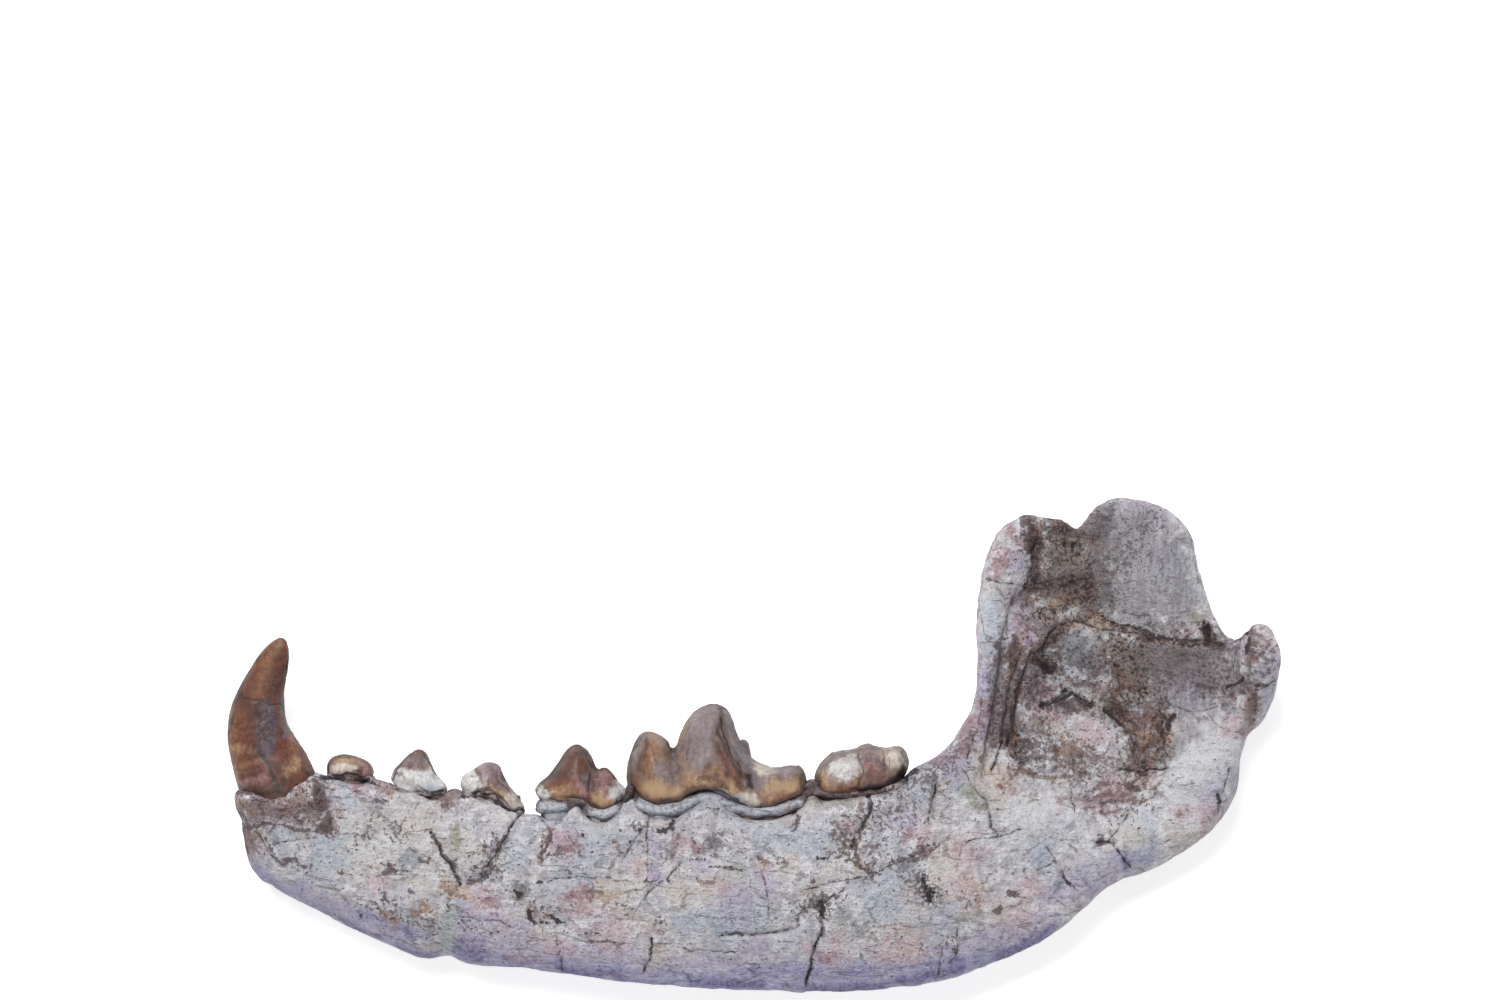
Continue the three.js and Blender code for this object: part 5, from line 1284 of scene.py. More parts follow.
    def grain(self, kind: Grain) -> Socket:
        """Returns the noise that breaks the borders of tones, the same one each time."""
        if kind not in self.grains:
            size, seed = kind.value
            self.grains[kind] = self.maths("SUBTRACT", self.noise(size, 4.0, 0.62, seed), 0.5)
        return self.grains[kind]

    def stained(self, colour: Socket, tones: list[Enum]) -> Socket:
        """Lays the stains of some tones over a colour."""
        for tone in tones:
            finish = tone.value
            broken = self.times(self.grain(finish.grain), self.BORDER * finish.broken)
            mask = self.mask(tone.name.lower())
            half = self.CRISP + self.SOFT * finish.softness
            patch = self.ramp(self.maths("ADD", mask, broken), 0.5 - half, 0.5 + half, 0.0, finish.cover)
            present = self.ramp(mask, 0.0, self.START)
            mixed = self.blend(self.ramp(self.grain(finish.mottle), *self.MOTTLE),
                               linear(finish.colour), linear(finish.other))
            colour = self.blend(self.times(patch, present), colour, mixed)
        return colour

    def cracked(self, colour: Socket, inside: str, around: str) -> Socket:
        """Draws the cracks that Skin.draw noted.

        Args:
            colour: The colour that they are drawn on.
            inside: Their own colour.
            around: The colour of the darker band beside them.

        Returns:
            The colour with the cracks.
        """
        jagged = self.maths("ADD", self.mask("line"), self.times(self.grain(Grain.FINE), self.JAGGED))
        away = self.maths("ABSOLUTE", jagged, 0.0)
        uneven = self.ramp(self.grain(Grain.DUST), *self.UNEVEN)
        width = self.maths("ADD", self.times(self.mask("width"), uneven), self.HAIR)
        share = self.ramp(self.maths("DIVIDE", away, width), *self.EDGE)
        ink = self.times(self.mask("ink"), self.ramp(self.grain(Grain.MIDDLE), *self.PATCHY))
        # A darker band beside each crack, fading out away from its line.
        darker_band = self.times(self.ramp(away, *self.DARKER_BAND), self.ramp(ink, 0.1, 0.9))
        colour = self.blend(darker_band, colour, linear(around))
        share = self.times(share, self.ramp(ink, 0.05, 0.85))
        return self.blend(share, colour, linear(inside))

    def shade_sides(self, colour: Socket, dark: tuple[float, float, float, float]) -> Socket:
        """Paints shade on the sides, which turn away from the two faces of the jaw."""
        return self.blend(self.ramp(self.mask("turned"), 0.45, 1.0, 0.0, 1.0), colour, dark, "MULTIPLY")

    def relief(self, height: Socket, depth: float) -> None:
        """Shapes the surface by a height of 0 to 1, which stands for a depth in millimetres."""
        node = self.add("ShaderNodeBump", {"Distance": depth * MM, "Height": height})
        self.feed(self.surface.inputs["Normal"], node.outputs["Normal"])


Tint = tuple[float, float, float, float]
Change = tuple[float, float, float, float]


@dataclass(frozen=True)
class BoneFinish:
    """Fossil bone: chalky, mottled and finely striated, in cracked plates, with dark specks.

    A change holds two values of a noise or distance and what the share of a layer is at each.
    """

    name: str = "fossil_bone"
    light: str = "efeef1"
    middle: str = "c3bfc6"
    low: str = "96929a"
    cool: str = "aab2c0"
    warm: str = "cfc4ba"
    speck: str = "62585b"
    blot: str = "4b3f3f"
    inside: str = "322b2d"
    around: str = "7d7072"
    plate_tint: Tint = (0.78, 0.77, 0.78, 1)
    groove_tint: Tint = (0.6, 0.58, 0.62, 1)
    dust_tint: Tint = (0.5, 0.47, 0.5, 1)
    # The painted shade multiplied onto the sides that turn away from the faces.
    side_shade: Tint = (0.84, 0.81, 0.88, 1)
    lows: Change = (0.3, 0.42, 0.8, 0.0)
    cools: Change = (0.5, 0.65, 0.0, 0.5)
    warms: Change = (0.36, 0.48, 0.5, 0.0)
    plates: Change = (0.2, 0.8, 0.0, 0.5)
    crumb_gaps: Change = (0.01, 0.1, 0.7, 0.0)
    groove_depths: Change = (0.36, 0.56, 0.28, 0.0)
    dust: Change = (-0.16, 0.02, 0.5, 0.0)
    crowding: Change = (0.36, 0.62, 0.25, 1.0)
    speck_share: Change = (0.11, 0.2, 0.0, 0.85)
    blot_share: Change = (0.63, 0.69, 0.0, 0.75)
    coarse_lines: Change = (0.008, 0.035, 0.5, 0.0)
    thin_lines: Change = (0.01, 0.05, 0.28, 0.0)
    polish: Change = (0.3, 0.7, 0.85, 0.65)
    specular: float = 0.25
    bump: float = 0.95

    def material(self, tones: list[Enum]) -> bpy.types.Material:
        """Builds the material.

        Args:
            tones: The tones that the bone is stained with.

        Returns:
            The material.
        """
        shader = Shader(self.name)
        broad = shader.noise(12, 3, 0.6, 1.0)
        mottle = shader.noise(2.2, 6, 0.7, 2.0)
        fine, middle = shader.grain(Grain.FINE), shader.grain(Grain.MIDDLE)
        coarse = shader.grain(Grain.BROAD)
        colour = shader.blend(shader.ramp(mottle, 0.4, 0.64), linear(self.middle), linear(self.light))
        for value, change, over in ((mottle, self.lows, self.low), (broad, self.cools, self.cool),
                                    (broad, self.warms, self.warm)):
            colour = shader.blend(shader.ramp(value, *change), colour, linear(over))
        edge, plate = shader.cells((15, 6, 8), 0.45, -4.0)
        colour = shader.blend(shader.ramp(plate, *self.plates), colour, self.plate_tint, "MULTIPLY")
        colour = shader.stained(colour, [tone for tone in tones if tone is not BoneTone.LABEL])
        rotten = shader.ramp(shader.mask(BoneTone.MATRIX.name.lower()), 0.2, 0.6)
        crumbs, _ = shader.cells((2.6, 3.8, 3.0), 1.8, 35.0)
        crumbly = shader.times(rotten, shader.ramp(coarse, -0.06, 0.06))
        gaps = shader.times(shader.ramp(crumbs, *self.crumb_gaps), crumbly)
        colour = shader.blend(gaps, colour, linear(self.inside))

        fibres = shader.noise((6, 0.5, 0.5), 4, 0.6, 9.0, -4.0)
        lying = shader.ramp(shader.mask(BoneTone.GREY.name.lower()), 0.1, 0.5, 1.0, 0.0)
        grooves = shader.times(shader.ramp(fibres, *self.groove_depths), lying)
        colour = shader.blend(grooves, colour, self.groove_tint, "MULTIPLY")
        colour = shader.blend(shader.ramp(fine, *self.dust), colour, self.dust_tint, "MULTIPLY")

        specks = shader.times(shader.ramp(fine, *self.speck_share), shader.ramp(broad, *self.crowding))
        colour = shader.blend(specks, colour, linear(self.speck))
        blots = shader.times(shader.ramp(shader.noise((1.5, 1.1, 1.3), 3, 0.65, 31), *self.blot_share),
                             shader.ramp(shader.noise(9, 2, 0.6, 33), 0.44, 0.58))
        colour = shader.blend(blots, colour, linear(self.blot))
        small, _ = shader.cells((5, 2.6, 3.5), 0.6, 12.0)
        hairlines = shader.maths(
            "MAXIMUM",
            shader.times(shader.ramp(edge, *self.coarse_lines), shader.ramp(coarse, -0.02, 0.08)),
            shader.times(shader.ramp(small, *self.thin_lines), shader.ramp(middle, 0.0, 0.1)))
        colour = shader.blend(hairlines, colour, linear(self.speck))
        colour = shader.cracked(colour, self.inside, self.around)
        colour = shader.stained(colour, [tone for tone in tones if tone is BoneTone.LABEL])
        # Painted shade: the sides that turn away from the faces are darkened.
        colour = shader.shade_sides(colour, self.side_shade)
        shader.feed(shader.surface.inputs["Base Color"], colour)

        shader.surface.inputs["Specular IOR Level"].default_value = self.specular
        shader.feed(shader.surface.inputs["Roughness"], shader.ramp(mottle, *self.polish))
        height = mottle
        for layer, share in ((grooves, -0.25), (gaps, -0.3), (blots, -0.3), (fine, 0.8), (specks, -0.3),
                             (hairlines, -0.35)):
            height = shader.maths("ADD", height, shader.times(layer, share))
        shader.relief(height, self.bump)
        return shader.material


@dataclass(frozen=True)
class EnamelFinish:
    """Stained fossil enamel: glossy, faintly streaked lengthwise, with fine dark cracks.

    A change holds two values of a noise or distance and what the share of a layer is at each.

    Attributes:
        name: The material's name.
        light: The lighter of its two ground colours.
        dark: The darker one.
        gloss: Its roughness where it is polished.
        dull: How much rougher it is elsewhere.
        coat: How much clear coat lies on it.
        coat_roughness: How rough that is.
    """

    name: str
    light: str
    dark: str
    gloss: float = 0.44
    dull: float = 0.18
    coat: float = 0.06
    coat_roughness: float = 0.25
    inside: str = "241814"
    around: str = "4a342c"
    streak_tint: Tint = (0.62, 0.56, 0.54, 1)
    # The painted shade multiplied onto the sides of the tooth.
    side_shade: Tint = (0.45, 0.38, 0.36, 1)
    streaking: Change = (0.32, 0.5, 0.3, 0.0)
    lines: Change = (0.008, 0.03, 0.55, 0.0)
    bump: float = 0.14

    def material(self, tones: list[Enum]) -> bpy.types.Material:
        """Builds the material.

        Args:
            tones: The tones that the tooth is stained with.

        Returns:
            The material.
        """
        shader = Shader(self.name)
        streaks = shader.noise((0.7, 5, 0.7), 4, 0.6, 1.0)
        mottle = shader.noise(2.8, 5, 0.6, 2.0)
        colour = shader.blend(shader.ramp(mottle, 0.36, 0.64), linear(self.dark), linear(self.light))
        colour = shader.stained(colour, tones)
        colour = shader.blend(shader.ramp(streaks, *self.streaking), colour, self.streak_tint, "MULTIPLY")
        edge, _ = shader.cells((2.6, 5, 2.6), 0.5)
        hairlines = shader.times(shader.ramp(edge, *self.lines),
                                 shader.ramp(shader.grain(Grain.BROAD), 0.0, 0.1))
        colour = shader.blend(hairlines, colour, linear(self.inside))
        colour = shader.cracked(colour, self.inside, self.around)
        # Painted shade: the sides that turn away from the faces are darkened.
        colour = shader.shade_sides(colour, self.side_shade)
        shader.feed(shader.surface.inputs["Base Color"], colour)
        shader.feed(shader.surface.inputs["Roughness"],
                    shader.ramp(mottle, 0.35, 0.65, self.gloss + self.dull, self.gloss))
        shader.surface.inputs["Coat Weight"].default_value = self.coat
        shader.surface.inputs["Coat Roughness"].default_value = self.coat_roughness
        height = shader.maths("SUBTRACT", shader.times(streaks, 0.3), shader.times(hairlines, 0.5))
        shader.relief(shader.maths("ADD", height, shader.times(mottle, 0.4)), self.bump)
        return shader.material


@dataclass
class JawBone:
    """The bone with its cracks, flakes, fossa and stains."""

    node: str = "jaw_bone"
    slot: str = "bone"
    voxel: float = 1.02
    smoothing: int = 6
    outer_spacing: float = 0.58
    crack_spacing: float = 0.32
    lumps: tuple[tuple[float, float, int], ...] = ((9, 0.22, 2), (3, 0.14, 2), (1.3, 0.09, 1))
    finish: BoneFinish = BoneFinish()

    def marks(self) -> tuple[Marks, ...]:
        """Returns the marks of both faces."""
        return (
            Marks(Side.OUTER, (*OUTER_STAINS, *RAMUS_STAINS, *FRONT_STAINS), OUTER_CRACKS,
                  OUTER_LEDGES, OUTER_SWELLS, OUTER_ROUGHS),
            Marks(Side.INNER, INNER_STAINS, INNER_CRACKS, INNER_LEDGES, INNER_SWELLS, INNER_ROUGHS),
        )

    def build(self) -> bpy.types.Object:
        """Builds, carves and dresses the bone."""
        skin = Skin(node_copy(self.node), node_box(self.node), self.voxel, self.smoothing)
        skin.refine(self.marks(), self.crack_spacing, self.outer_spacing)
        tones = skin.dress(self.marks(), self.lumps, BoneTone)
        return skin.piece(f"{self.node}_looks", self.finish.material(tones), self.node)


@dataclass(frozen=True)
class Clod:
    """A lump of sediment along a line.

    Attributes:
        path: Its line, as pixels of the outer view.
        radius: How far it reaches to each side, in pixels.
        middle: How high over the floor its middle is.
        depth: How far it reaches up and down from there.
    """

    path: Path
    radius: float
    middle: float
    depth: float

    def places(self) -> np.ndarray:
        """Returns x and y of the lumps that it is made of, in millimetres, one row each."""
        line = Side.OUTER.line(self.path)
        found = []
        for start, end in itertools.pairwise(line):
            steps = max(1, math.ceil(np.linalg.norm(end - start) / (0.5 * self.radius * VIEW.scale())))
            found += [start + (end - start) * step / steps for step in range(steps + 1)]
        return np.array(found)


def clods(text: str) -> tuple[Clod, ...]:
    """Lists clods from strokes with a radius, a middle and a depth."""
    return tuple(Clod(path, *numbers) for numbers, path in strokes(text))


SEDIMENT_CLODS = clods("""
    4.5 13.6 3 331,777 350,778 369,778 / 4.5 13.5 3.4 374,783 394,788 / 4.5 14 3.2 402,791 420,794 440,795 /
    5 14.2 3.4 442,796 464,797 / 5 14.4 3.3 466,798 486,799 506,806 / 4.5 14.4 3 506,806 521,811 /
    7.5 15 4.2 543,806 556,807 572,804 / 6.5 15 4 570,800 586,800 / 7.5 15 4.6 590,811 604,814 620,808 /
    10 15.6 6.4 640,804 656,809 676,808 / 8 15.3 5.4 676,808 690,802 703,796 716,797 / 9.5 14.4 6.4 716,799
    735,806 752,811 / 8.5 15.3 7.4 754,811 776,809 800,800 / 9 14.6 5.4 802,794 812,788 /
    6.5 14.1 6.4 818,793 845,795 875,791 904,783 / 5 15.4 4.8 627,801 631,794 632,787
""")
SEDIMENT_OUTER = Marks(
    Side.OUTER,
    stains=patches(BoneTone, """
        CRUST 1.2: 8 378,784 392,788 / 850,796 890,790 / 9 444,796 462,797 / 6 502,806;
        CEMENT 1.5: 10 640,806 656,811 680,809 / 8 690,802 703,797 718,799 / 598,815 620,811 / 9 733,806
        752,813 / 760,814 780,814 800,808 / 6 545,808 562,810;
        WHITE: 6 404,794 412,796 / 5 650,813 670,814 / 4 706,798;
        ROSE: 5 380,786 / 450,795 / 500,806 / 6 880,790 / 4 775,812;
        RUST: 4 386,788 / 456,798 / 810,790 / 5 870,792 / 3 790,806;
        UMBER: 4 805,790 812,784 / 3 820,792 850,796 880,791 / 620,806 630,798 / 570,802 584,804 / 7 626,801
        631,793 632,785;
        BLACK: 3 330,777 371,778 / 2.5 466,797 488,797 510,809 524,811 / 404,792 428,796 444,795 / 2 860,790
        905,780 / 3.5 627,801 631,794
    """),
    roughs=roughs("30 0.25 1.4 330,777 520,808 / 20 0.3 1.5 802,792 900,788"),
)
SEDIMENT_INNER = Marks(
    Side.INNER,
    moved=(-4, 8),
    stains=patches(BoneTone, """
        CEMENT 1.4: 10 720,310 750,312 770,308 790,300 810,296 / 9 850,310 865,312 / 8 900,308 / 7 940,310;
        CEMENT 0.9: 9 600,295 644,298 680,300;
        CRUST 1.2: 8 1105,296 1130,292 / 9 1040,300 1060,302;
        RUST: 5 1060,302 / 1115,293 / 6 660,300;
        BLACK: 3 1000,305 1022,301 / 1052,297 1100,296 / 2.5 725,310 760,306 / 620,298 650,300
    """),
)


@dataclass
class Sediment:
    """The hardened sediment and root cement in the gaps between the teeth and the bone."""

    name: str = "socket_sediment"
    slot: str = "bone"
    voxel: float = 0.5
    smoothing: int = 4
    roundness: int = 3
    lumps: tuple[tuple[float, float, int], ...] = ((3, 0.2, 2), (1.2, 0.14, 2))
    finish: BoneFinish = BoneFinish(
        name="socket_sediment", light="aca0a2", middle="84777a", low="584c50", cool="84868f",
        warm="9a8675", speck="3a3233", inside="241e1f", around="453a39")

    def shape(self) -> bpy.types.Mesh:
        """Returns the lumps, not yet grown together."""
        work = bmesh.new()
        for clod in SEDIMENT_CLODS:
            reach = clod.radius * VIEW.scale() * MM
            for x, y in clod.places():
                place = Matrix.Translation((x * MM, y * MM, clod.middle * MM))
                bmesh.ops.create_icosphere(
                    work, subdivisions=self.roundness, radius=1.0,
                    matrix=place @ Matrix.Diagonal((reach, reach, clod.depth * MM, 1)))
        mesh = bpy.data.meshes.new(self.name)
        work.to_mesh(mesh)
        work.free()
        return mesh

    def build(self) -> bpy.types.Object:
        """Builds and dresses the sediment."""
        skin = Skin(self.shape(), frame_box(), self.voxel, self.smoothing)
        tones = skin.dress((SEDIMENT_OUTER, SEDIMENT_INNER), self.lumps, BoneTone)
        return skin.piece(self.name, self.finish.material(tones))


@dataclass
class Tooth:
    """One tooth, with its crown and the roots in its socket."""

    node: str
    finish: EnamelFinish
    outer: Marks
    inner: Marks
    slot: str = "enamel"
    voxel: float = 0.36
    smoothing: int = 6
    lumps: tuple[tuple[float, float, int], ...] = ((4, 0.08, 2), (1.2, 0.03, 1))

    def build(self) -> bpy.types.Object:
        """Builds, carves and dresses the tooth."""
        skin = Skin(node_copy(self.node), node_box(self.node), self.voxel, self.smoothing)
        tones = skin.dress((self.outer, self.inner), self.lumps, ToothTone)
        return skin.piece(f"{self.node}_looks", self.finish.material(tones), self.node)


@dataclass(frozen=True)
class Studio:
    """A pale floor, soft light and the camera that looks straight down on the jaw."""

    floor_size_m: float = 6.0
    floor_colour: str = "fbfbfb"
    floor_shade: str = "f8f8f8"
    floor_roughness: float = 0.9
    floor_specular: float = 0.1
    floor_clouds: float = 300.0
    floor_drop: float = 0.2
    focal_length: float = 200.0
    sensor: float = 36.0
    focus_height: float = 12.0
    floor_glow: float = 0.5
    sky: float = 0.45
    key_power: float = 34.0
    key_size_m: float = 0.9
    key_place_m: tuple[float, float, float] = (-0.4, 1.0, 1.8)

    def build(self) -> None:
        """Builds the floor, the lights and the camera."""
        self.floor()
        self.light()
        self.camera()

    def floor(self) -> None:
        """Lays the floor just under the jaw."""
        work = bmesh.new()
        bmesh.ops.create_grid(work, x_segments=1, y_segments=1, size=self.floor_size_m / 2,
                              matrix=Matrix.Translation((0, 0, -self.floor_drop * MM)))
        mesh = bpy.data.meshes.new("floor")
        work.to_mesh(mesh)
        work.free()
        floor = bpy.data.objects.new("floor", mesh)
        bpy.context.scene.collection.objects.link(floor)
        shader = Shader("floor")
        cloudy = shader.ramp(shader.noise(self.floor_clouds, 2, 0.4), 0.3, 0.7)
        pale = shader.blend(cloudy, linear(self.floor_colour), linear(self.floor_shade))
        shader.feed(shader.surface.inputs["Base Color"], pale)
        shader.surface.inputs["Roughness"].default_value = self.floor_roughness
        shader.surface.inputs["Specular IOR Level"].default_value = self.floor_specular
        shader.surface.inputs["Emission Color"].default_value = (1, 1, 1, 1)
        shader.surface.inputs["Emission Strength"].default_value = self.floor_glow
        mesh.materials.append(shader.material)

    def light(self) -> None:
        """Sets the sky and the one large lamp."""
        world = bpy.data.worlds.new("studio")
        world.use_nodes = True
        background = world.node_tree.nodes["Background"]
        background.inputs["Color"].default_value = (1, 1, 1, 1)
        background.inputs["Strength"].default_value = self.sky
        bpy.context.scene.world = world
        lamp = bpy.data.lights.new("key", "AREA")
        lamp.size = self.key_size_m
        lamp.energy = self.key_power
        key = bpy.data.objects.new("key", lamp)
        key.location = self.key_place_m
        key.rotation_euler = (-Vector(self.key_place_m)).to_track_quat("-Z", "Y").to_euler()
        bpy.context.scene.collection.objects.link(key)

    def camera(self) -> None:
        """Puts the camera where the frame shows the jaw at its size and place in the photograph."""
        lens = bpy.data.cameras.new("camera")
        lens.sensor_width = self.sensor
        lens.lens = self.focal_length
        camera = bpy.data.objects.new("camera", lens)
        distance = VIEW.frame_width * VIEW.scale() * self.focal_length / self.sensor
        x, y = VIEW.place(VIEW.frame_width / 2, VIEW.frame_height / 2)
        camera.location = Vector((x, y, distance + self.focus_height)) * MM
        bpy.context.scene.collection.objects.link(camera)
        bpy.context.scene.camera = camera
        bpy.context.scene.view_settings.view_transform = "Standard"


# DARK along the canine crown's left edge is painted shade.
CANINE_OUTER = Marks(
    Side.OUTER,
    # SAND near the canine's tip is a painted highlight.
    stains=patches(ToothTone, """
        SAND 0.85: 7 280,644 / 3 245,765 262,761;
        AMBER: 10 236,715 238,768 / 6 288,712 292,745 300,765 / 7 272,655 262,690;
        GOLD: 6 290,768 298,765 / 4 240,748 252,752;
        RED: 7 248,722 250,758 / 284,745 288,760 / 5 280,690;
        ROSE: 5 246,784 266,781 / 4 248,804 262,810 / 3 293,738;
        BROWN: 7 274,690 278,672 / 4 255,700 256,735 / 8 252,790 285,790 / 5 300,785;
        STEEL 1.2: 8 268,706 268,750 / 4 286,700 287,735;
        ICE: 1.6 268,709 / 1.2 265,722 / 1 270,732 / 0.8 263,740 / 1.5 258,802;
        DARK: 2.2 268,640 250,664 240,690 232,722 229,748 232,775 / 2.4 291,662 289,673 / 262,752 270,770
        280,788 / 2 288,704 293,730 / 308,770 318,782 / 2.5 256,698 257,712 / 240,796 262,794 282,788 /
        3 236,800 243,815 256,820
    """),
    cracks=(
        *cracks(0.24, 0.2, "240,690 248,698 262,699 272,703 282,703 / 289,660 288,674", dark=0.8),
        *cracks(0.2, 0.12, """
            263,750 271,770 282,788 / 231,723 254,722 / 230,740 248,741 / 236,770 262,766 / 266,700 262,725
            262,750 / 240,792 262,788 276,780
        """, dark=0.5),
    ),
)
PREMOLAR_1_OUTER = Marks(
    Side.OUTER,
    stains=patches(ToothTone, """
        HONEY: 3 338,762 352,762;
        CREAM: 4 335,769 352,770;
        ROSE: 4 366,769 / 2 357,760;
        BROWN 1.1: 3 329,764 334,757 348,755 362,758 372,765;
        DARK: 1.6 328,763 328,773 / 2 354,773 362,771;
        BLACK: 1.6 327,775 345,776 372,776
    """),
)
PREMOLAR_2_OUTER = Marks(
    Side.OUTER,
    stains=patches(ToothTone, """
        MAUVE 1.3: 9 418,755 410,763;
        SAND: 4 412,762 420,765;
        CHALK: 9 400,782 440,784 / 6 408,774 428,774;
        ICE: 4 425,790 440,788 / 3 397,785;
        RED: 2.2 404,766 414,768 424,769;
        BROWN: 3 408,756 418,748 426,754;
        DARK: 1.4 424,750 432,764 439,775 / 1.2 394,778 404,762 416,748;
        BLACK: 1.3 412,790 428,794 446,793
    """),
    cracks=cracks(0.18, 0.12, "420,785 428,791 440,794", dark=0.8),
)
PREMOLAR_3_OUTER = Marks(
    Side.OUTER,
    stains=patches(ToothTone, """
        MAUVE: 9 491,771 497,780;
        CHALK: 8 469,780 474,788;
        SAND: 6 489,786 505,793;
        GOLD: 3.5 490,788 502,793;
        CREAM: 5 510,797 520,804;
        BROWN: 1.8 478,772 481,784 / 1.6 500,775 508,788;
        DARK: 1.3 478,765 490,761 500,766 510,782 524,800 / 2 470,794 488,789 503,798;
        BLACK: 1.5 462,797 478,794 494,796 508,808 524,810
    """),
    cracks=cracks(0.18, 0.12, "472,794 488,789 502,797 512,806", dark=0.8),
)
PREMOLAR_4_OUTER = Marks(
    Side.OUTER,
    stains=patches(ToothTone, """
        MAUVE: 5 588,776 590,786;
        AMBER: 5 555,785 572,786;
        GOLD: 6 555,792 573,794 / 596,794 606,796;
        HONEY: 4 562,796 / 600,798;
        CHALK: 6 538,792 548,798 / 7 614,790 622,786;
        ICE: 7 544,809 568,809 / 5.5 588,812 604,817 620,809;
        ROSE 0.85: 6 604,776 607,785 / 5 578,778 582,790;
        RED 0.85: 6 556,773 563,766 / 4 550,782 570,778;
        BROWN: 7 566,754 576,748 586,756 / 4 570,772 582,771 / 3.5 600,768 608,771;
        DARK: 1.6 540,782 552,771 562,757 573,746 / 577,745 588,755 594,766 / 4 552,778 560,768 /
        1.3 597,766 607,766 614,780 / 1.4 550,799 566,801 579,798 / 1.2 580,799 592,806 605,808 617,804;
        BLACK: 2 617,804 628,794 / 1.2 583,806 592,815 606,820
    """),
    cracks=(
        *cracks(0.2, 0.12, "586,755 592,768 588,790", dark=0.85),
        *cracks(0.12, 0.05, "550,799 566,801 579,798 592,806 605,808 618,803", dark=0.5),
    ),
)
# The DARK stroke under the crown is a painted contact shadow.
CARNASSIAL_OUTER = Marks(
    Side.OUTER,
    stains=patches(ToothTone, """
        SAND: 12 655,742 660,768 / 7 684,735 690,712 / 6 682,762;
        LAVENDER: 14 704,722 700,755 / 6 665,765 668,778 / 757,778 766,784 / 5 788,774;
        AMBER: 6 718,768 735,782 / 690,785 / 708,772 722,782 / 7 640,786 655,795 / 5 765,795 790,792 /
        722,755 / 735,766 742,780 / 4 651,746 652,776;
        GOLD: 7 652,788 678,790 / 690,778 712,776 / 6 730,786 742,790 / 768,788 800,782;
        HONEY: 5 650,786 674,790 / 4 774,785 792,785 / 3 735,784;
        CREAM: 5 758,767 775,766 / 745,797 756,802;
        ICE: 7 652,811 680,811 704,799 722,794 742,805;
        ROSE 0.7: 5 722,752 724,765;
        RED 0.75: 4 726,752 730,768 / 3 718,775 722,785;
        BROWN: 3.5 645,740 643,768 / 4 708,764 / 3 796,767 806,780 / 662,801 690,798 / 632,765 634,788 /
        718,742 722,756 728,770 / 706,772 716,774 / 2.5 738,772 746,790 / 2 716,776 728,786;
        STEEL: 5 729,712 733,728 / 7 742,745 748,762 / 2.2 675,750 676,772 / 2 700,704 718,703 / 4 751,768
        752,784 / 3 778,766 796,764;
        DARK: 2.2 721,708 723,735 731,755 747,778 / 2.4 672,742 674,750 / 629,770 632,750 637,738 /
        1.2 634,785 645,799 662,805 684,802 704,792 716,788 730,793 746,806 / 1.6 758,809 772,806 788,799
        804,792;
        BLACK: 3 748,776 750,786 / 2 630,788 637,798
    """),
    cracks=(
        *cracks(0.22, 0.15, "722,708 724,735 733,757 748,779"),
        *cracks(0.15, 0.08, "646,735 645,775 / 674,745 676,772 / 690,720 686,760", dark=0.6),
        *cracks(0.12, 0.05, """
            640,795 655,804 672,804 692,797 706,789 717,787 732,794 / 757,810 773,806 790,798 805,791
        """, dark=0.5),
    ),
    swells=swells("3 -0.35 673,745 675,775 / 2.5 -0.3 722,712 726,740 745,775 / 3 -0.4 757,775 757,790"),
)
MOLAR_2_OUTER = Marks(
    Side.OUTER,
    stains=patches(ToothTone, """
        MAUVE: 10 868,757 875,765 / 5 850,752;
        GOLD: 5 822,772 828,785 / 4 853,772 856,780;
        AMBER: 4 835,787 852,788 / 3 824,784;
        CREAM: 9 893,757 897,765;
        CHALK: 11 841,768 845,767;
        ROSE: 4 862,765 872,768 / 3 850,783;
        RED: 5 870,774 880,776 / 3 858,784 / 840,786;
        BROWN 1.15: 5 884,777 898,774 / 862,786 880,783 / 4 815,774 816,788;
        STEEL: 2.4 826,760 840,750 858,747 / 3 868,744 876,750;
        DARK: 2 869,743 / 812,774 812,792 / 850,788 876,784 / 1.6 903,752 909,765 905,774 / 3 888,780
        902,776;
        BLACK: 3 860,790 885,786 905,778
    """),
    cracks=cracks(0.18, 0.12, "858,752 862,768 858,786 / 882,750 884,772", dark=0.7),
    swells=swells("3 -0.3 860,755 861,785 / 3 -0.3 884,750 884,775"),
)


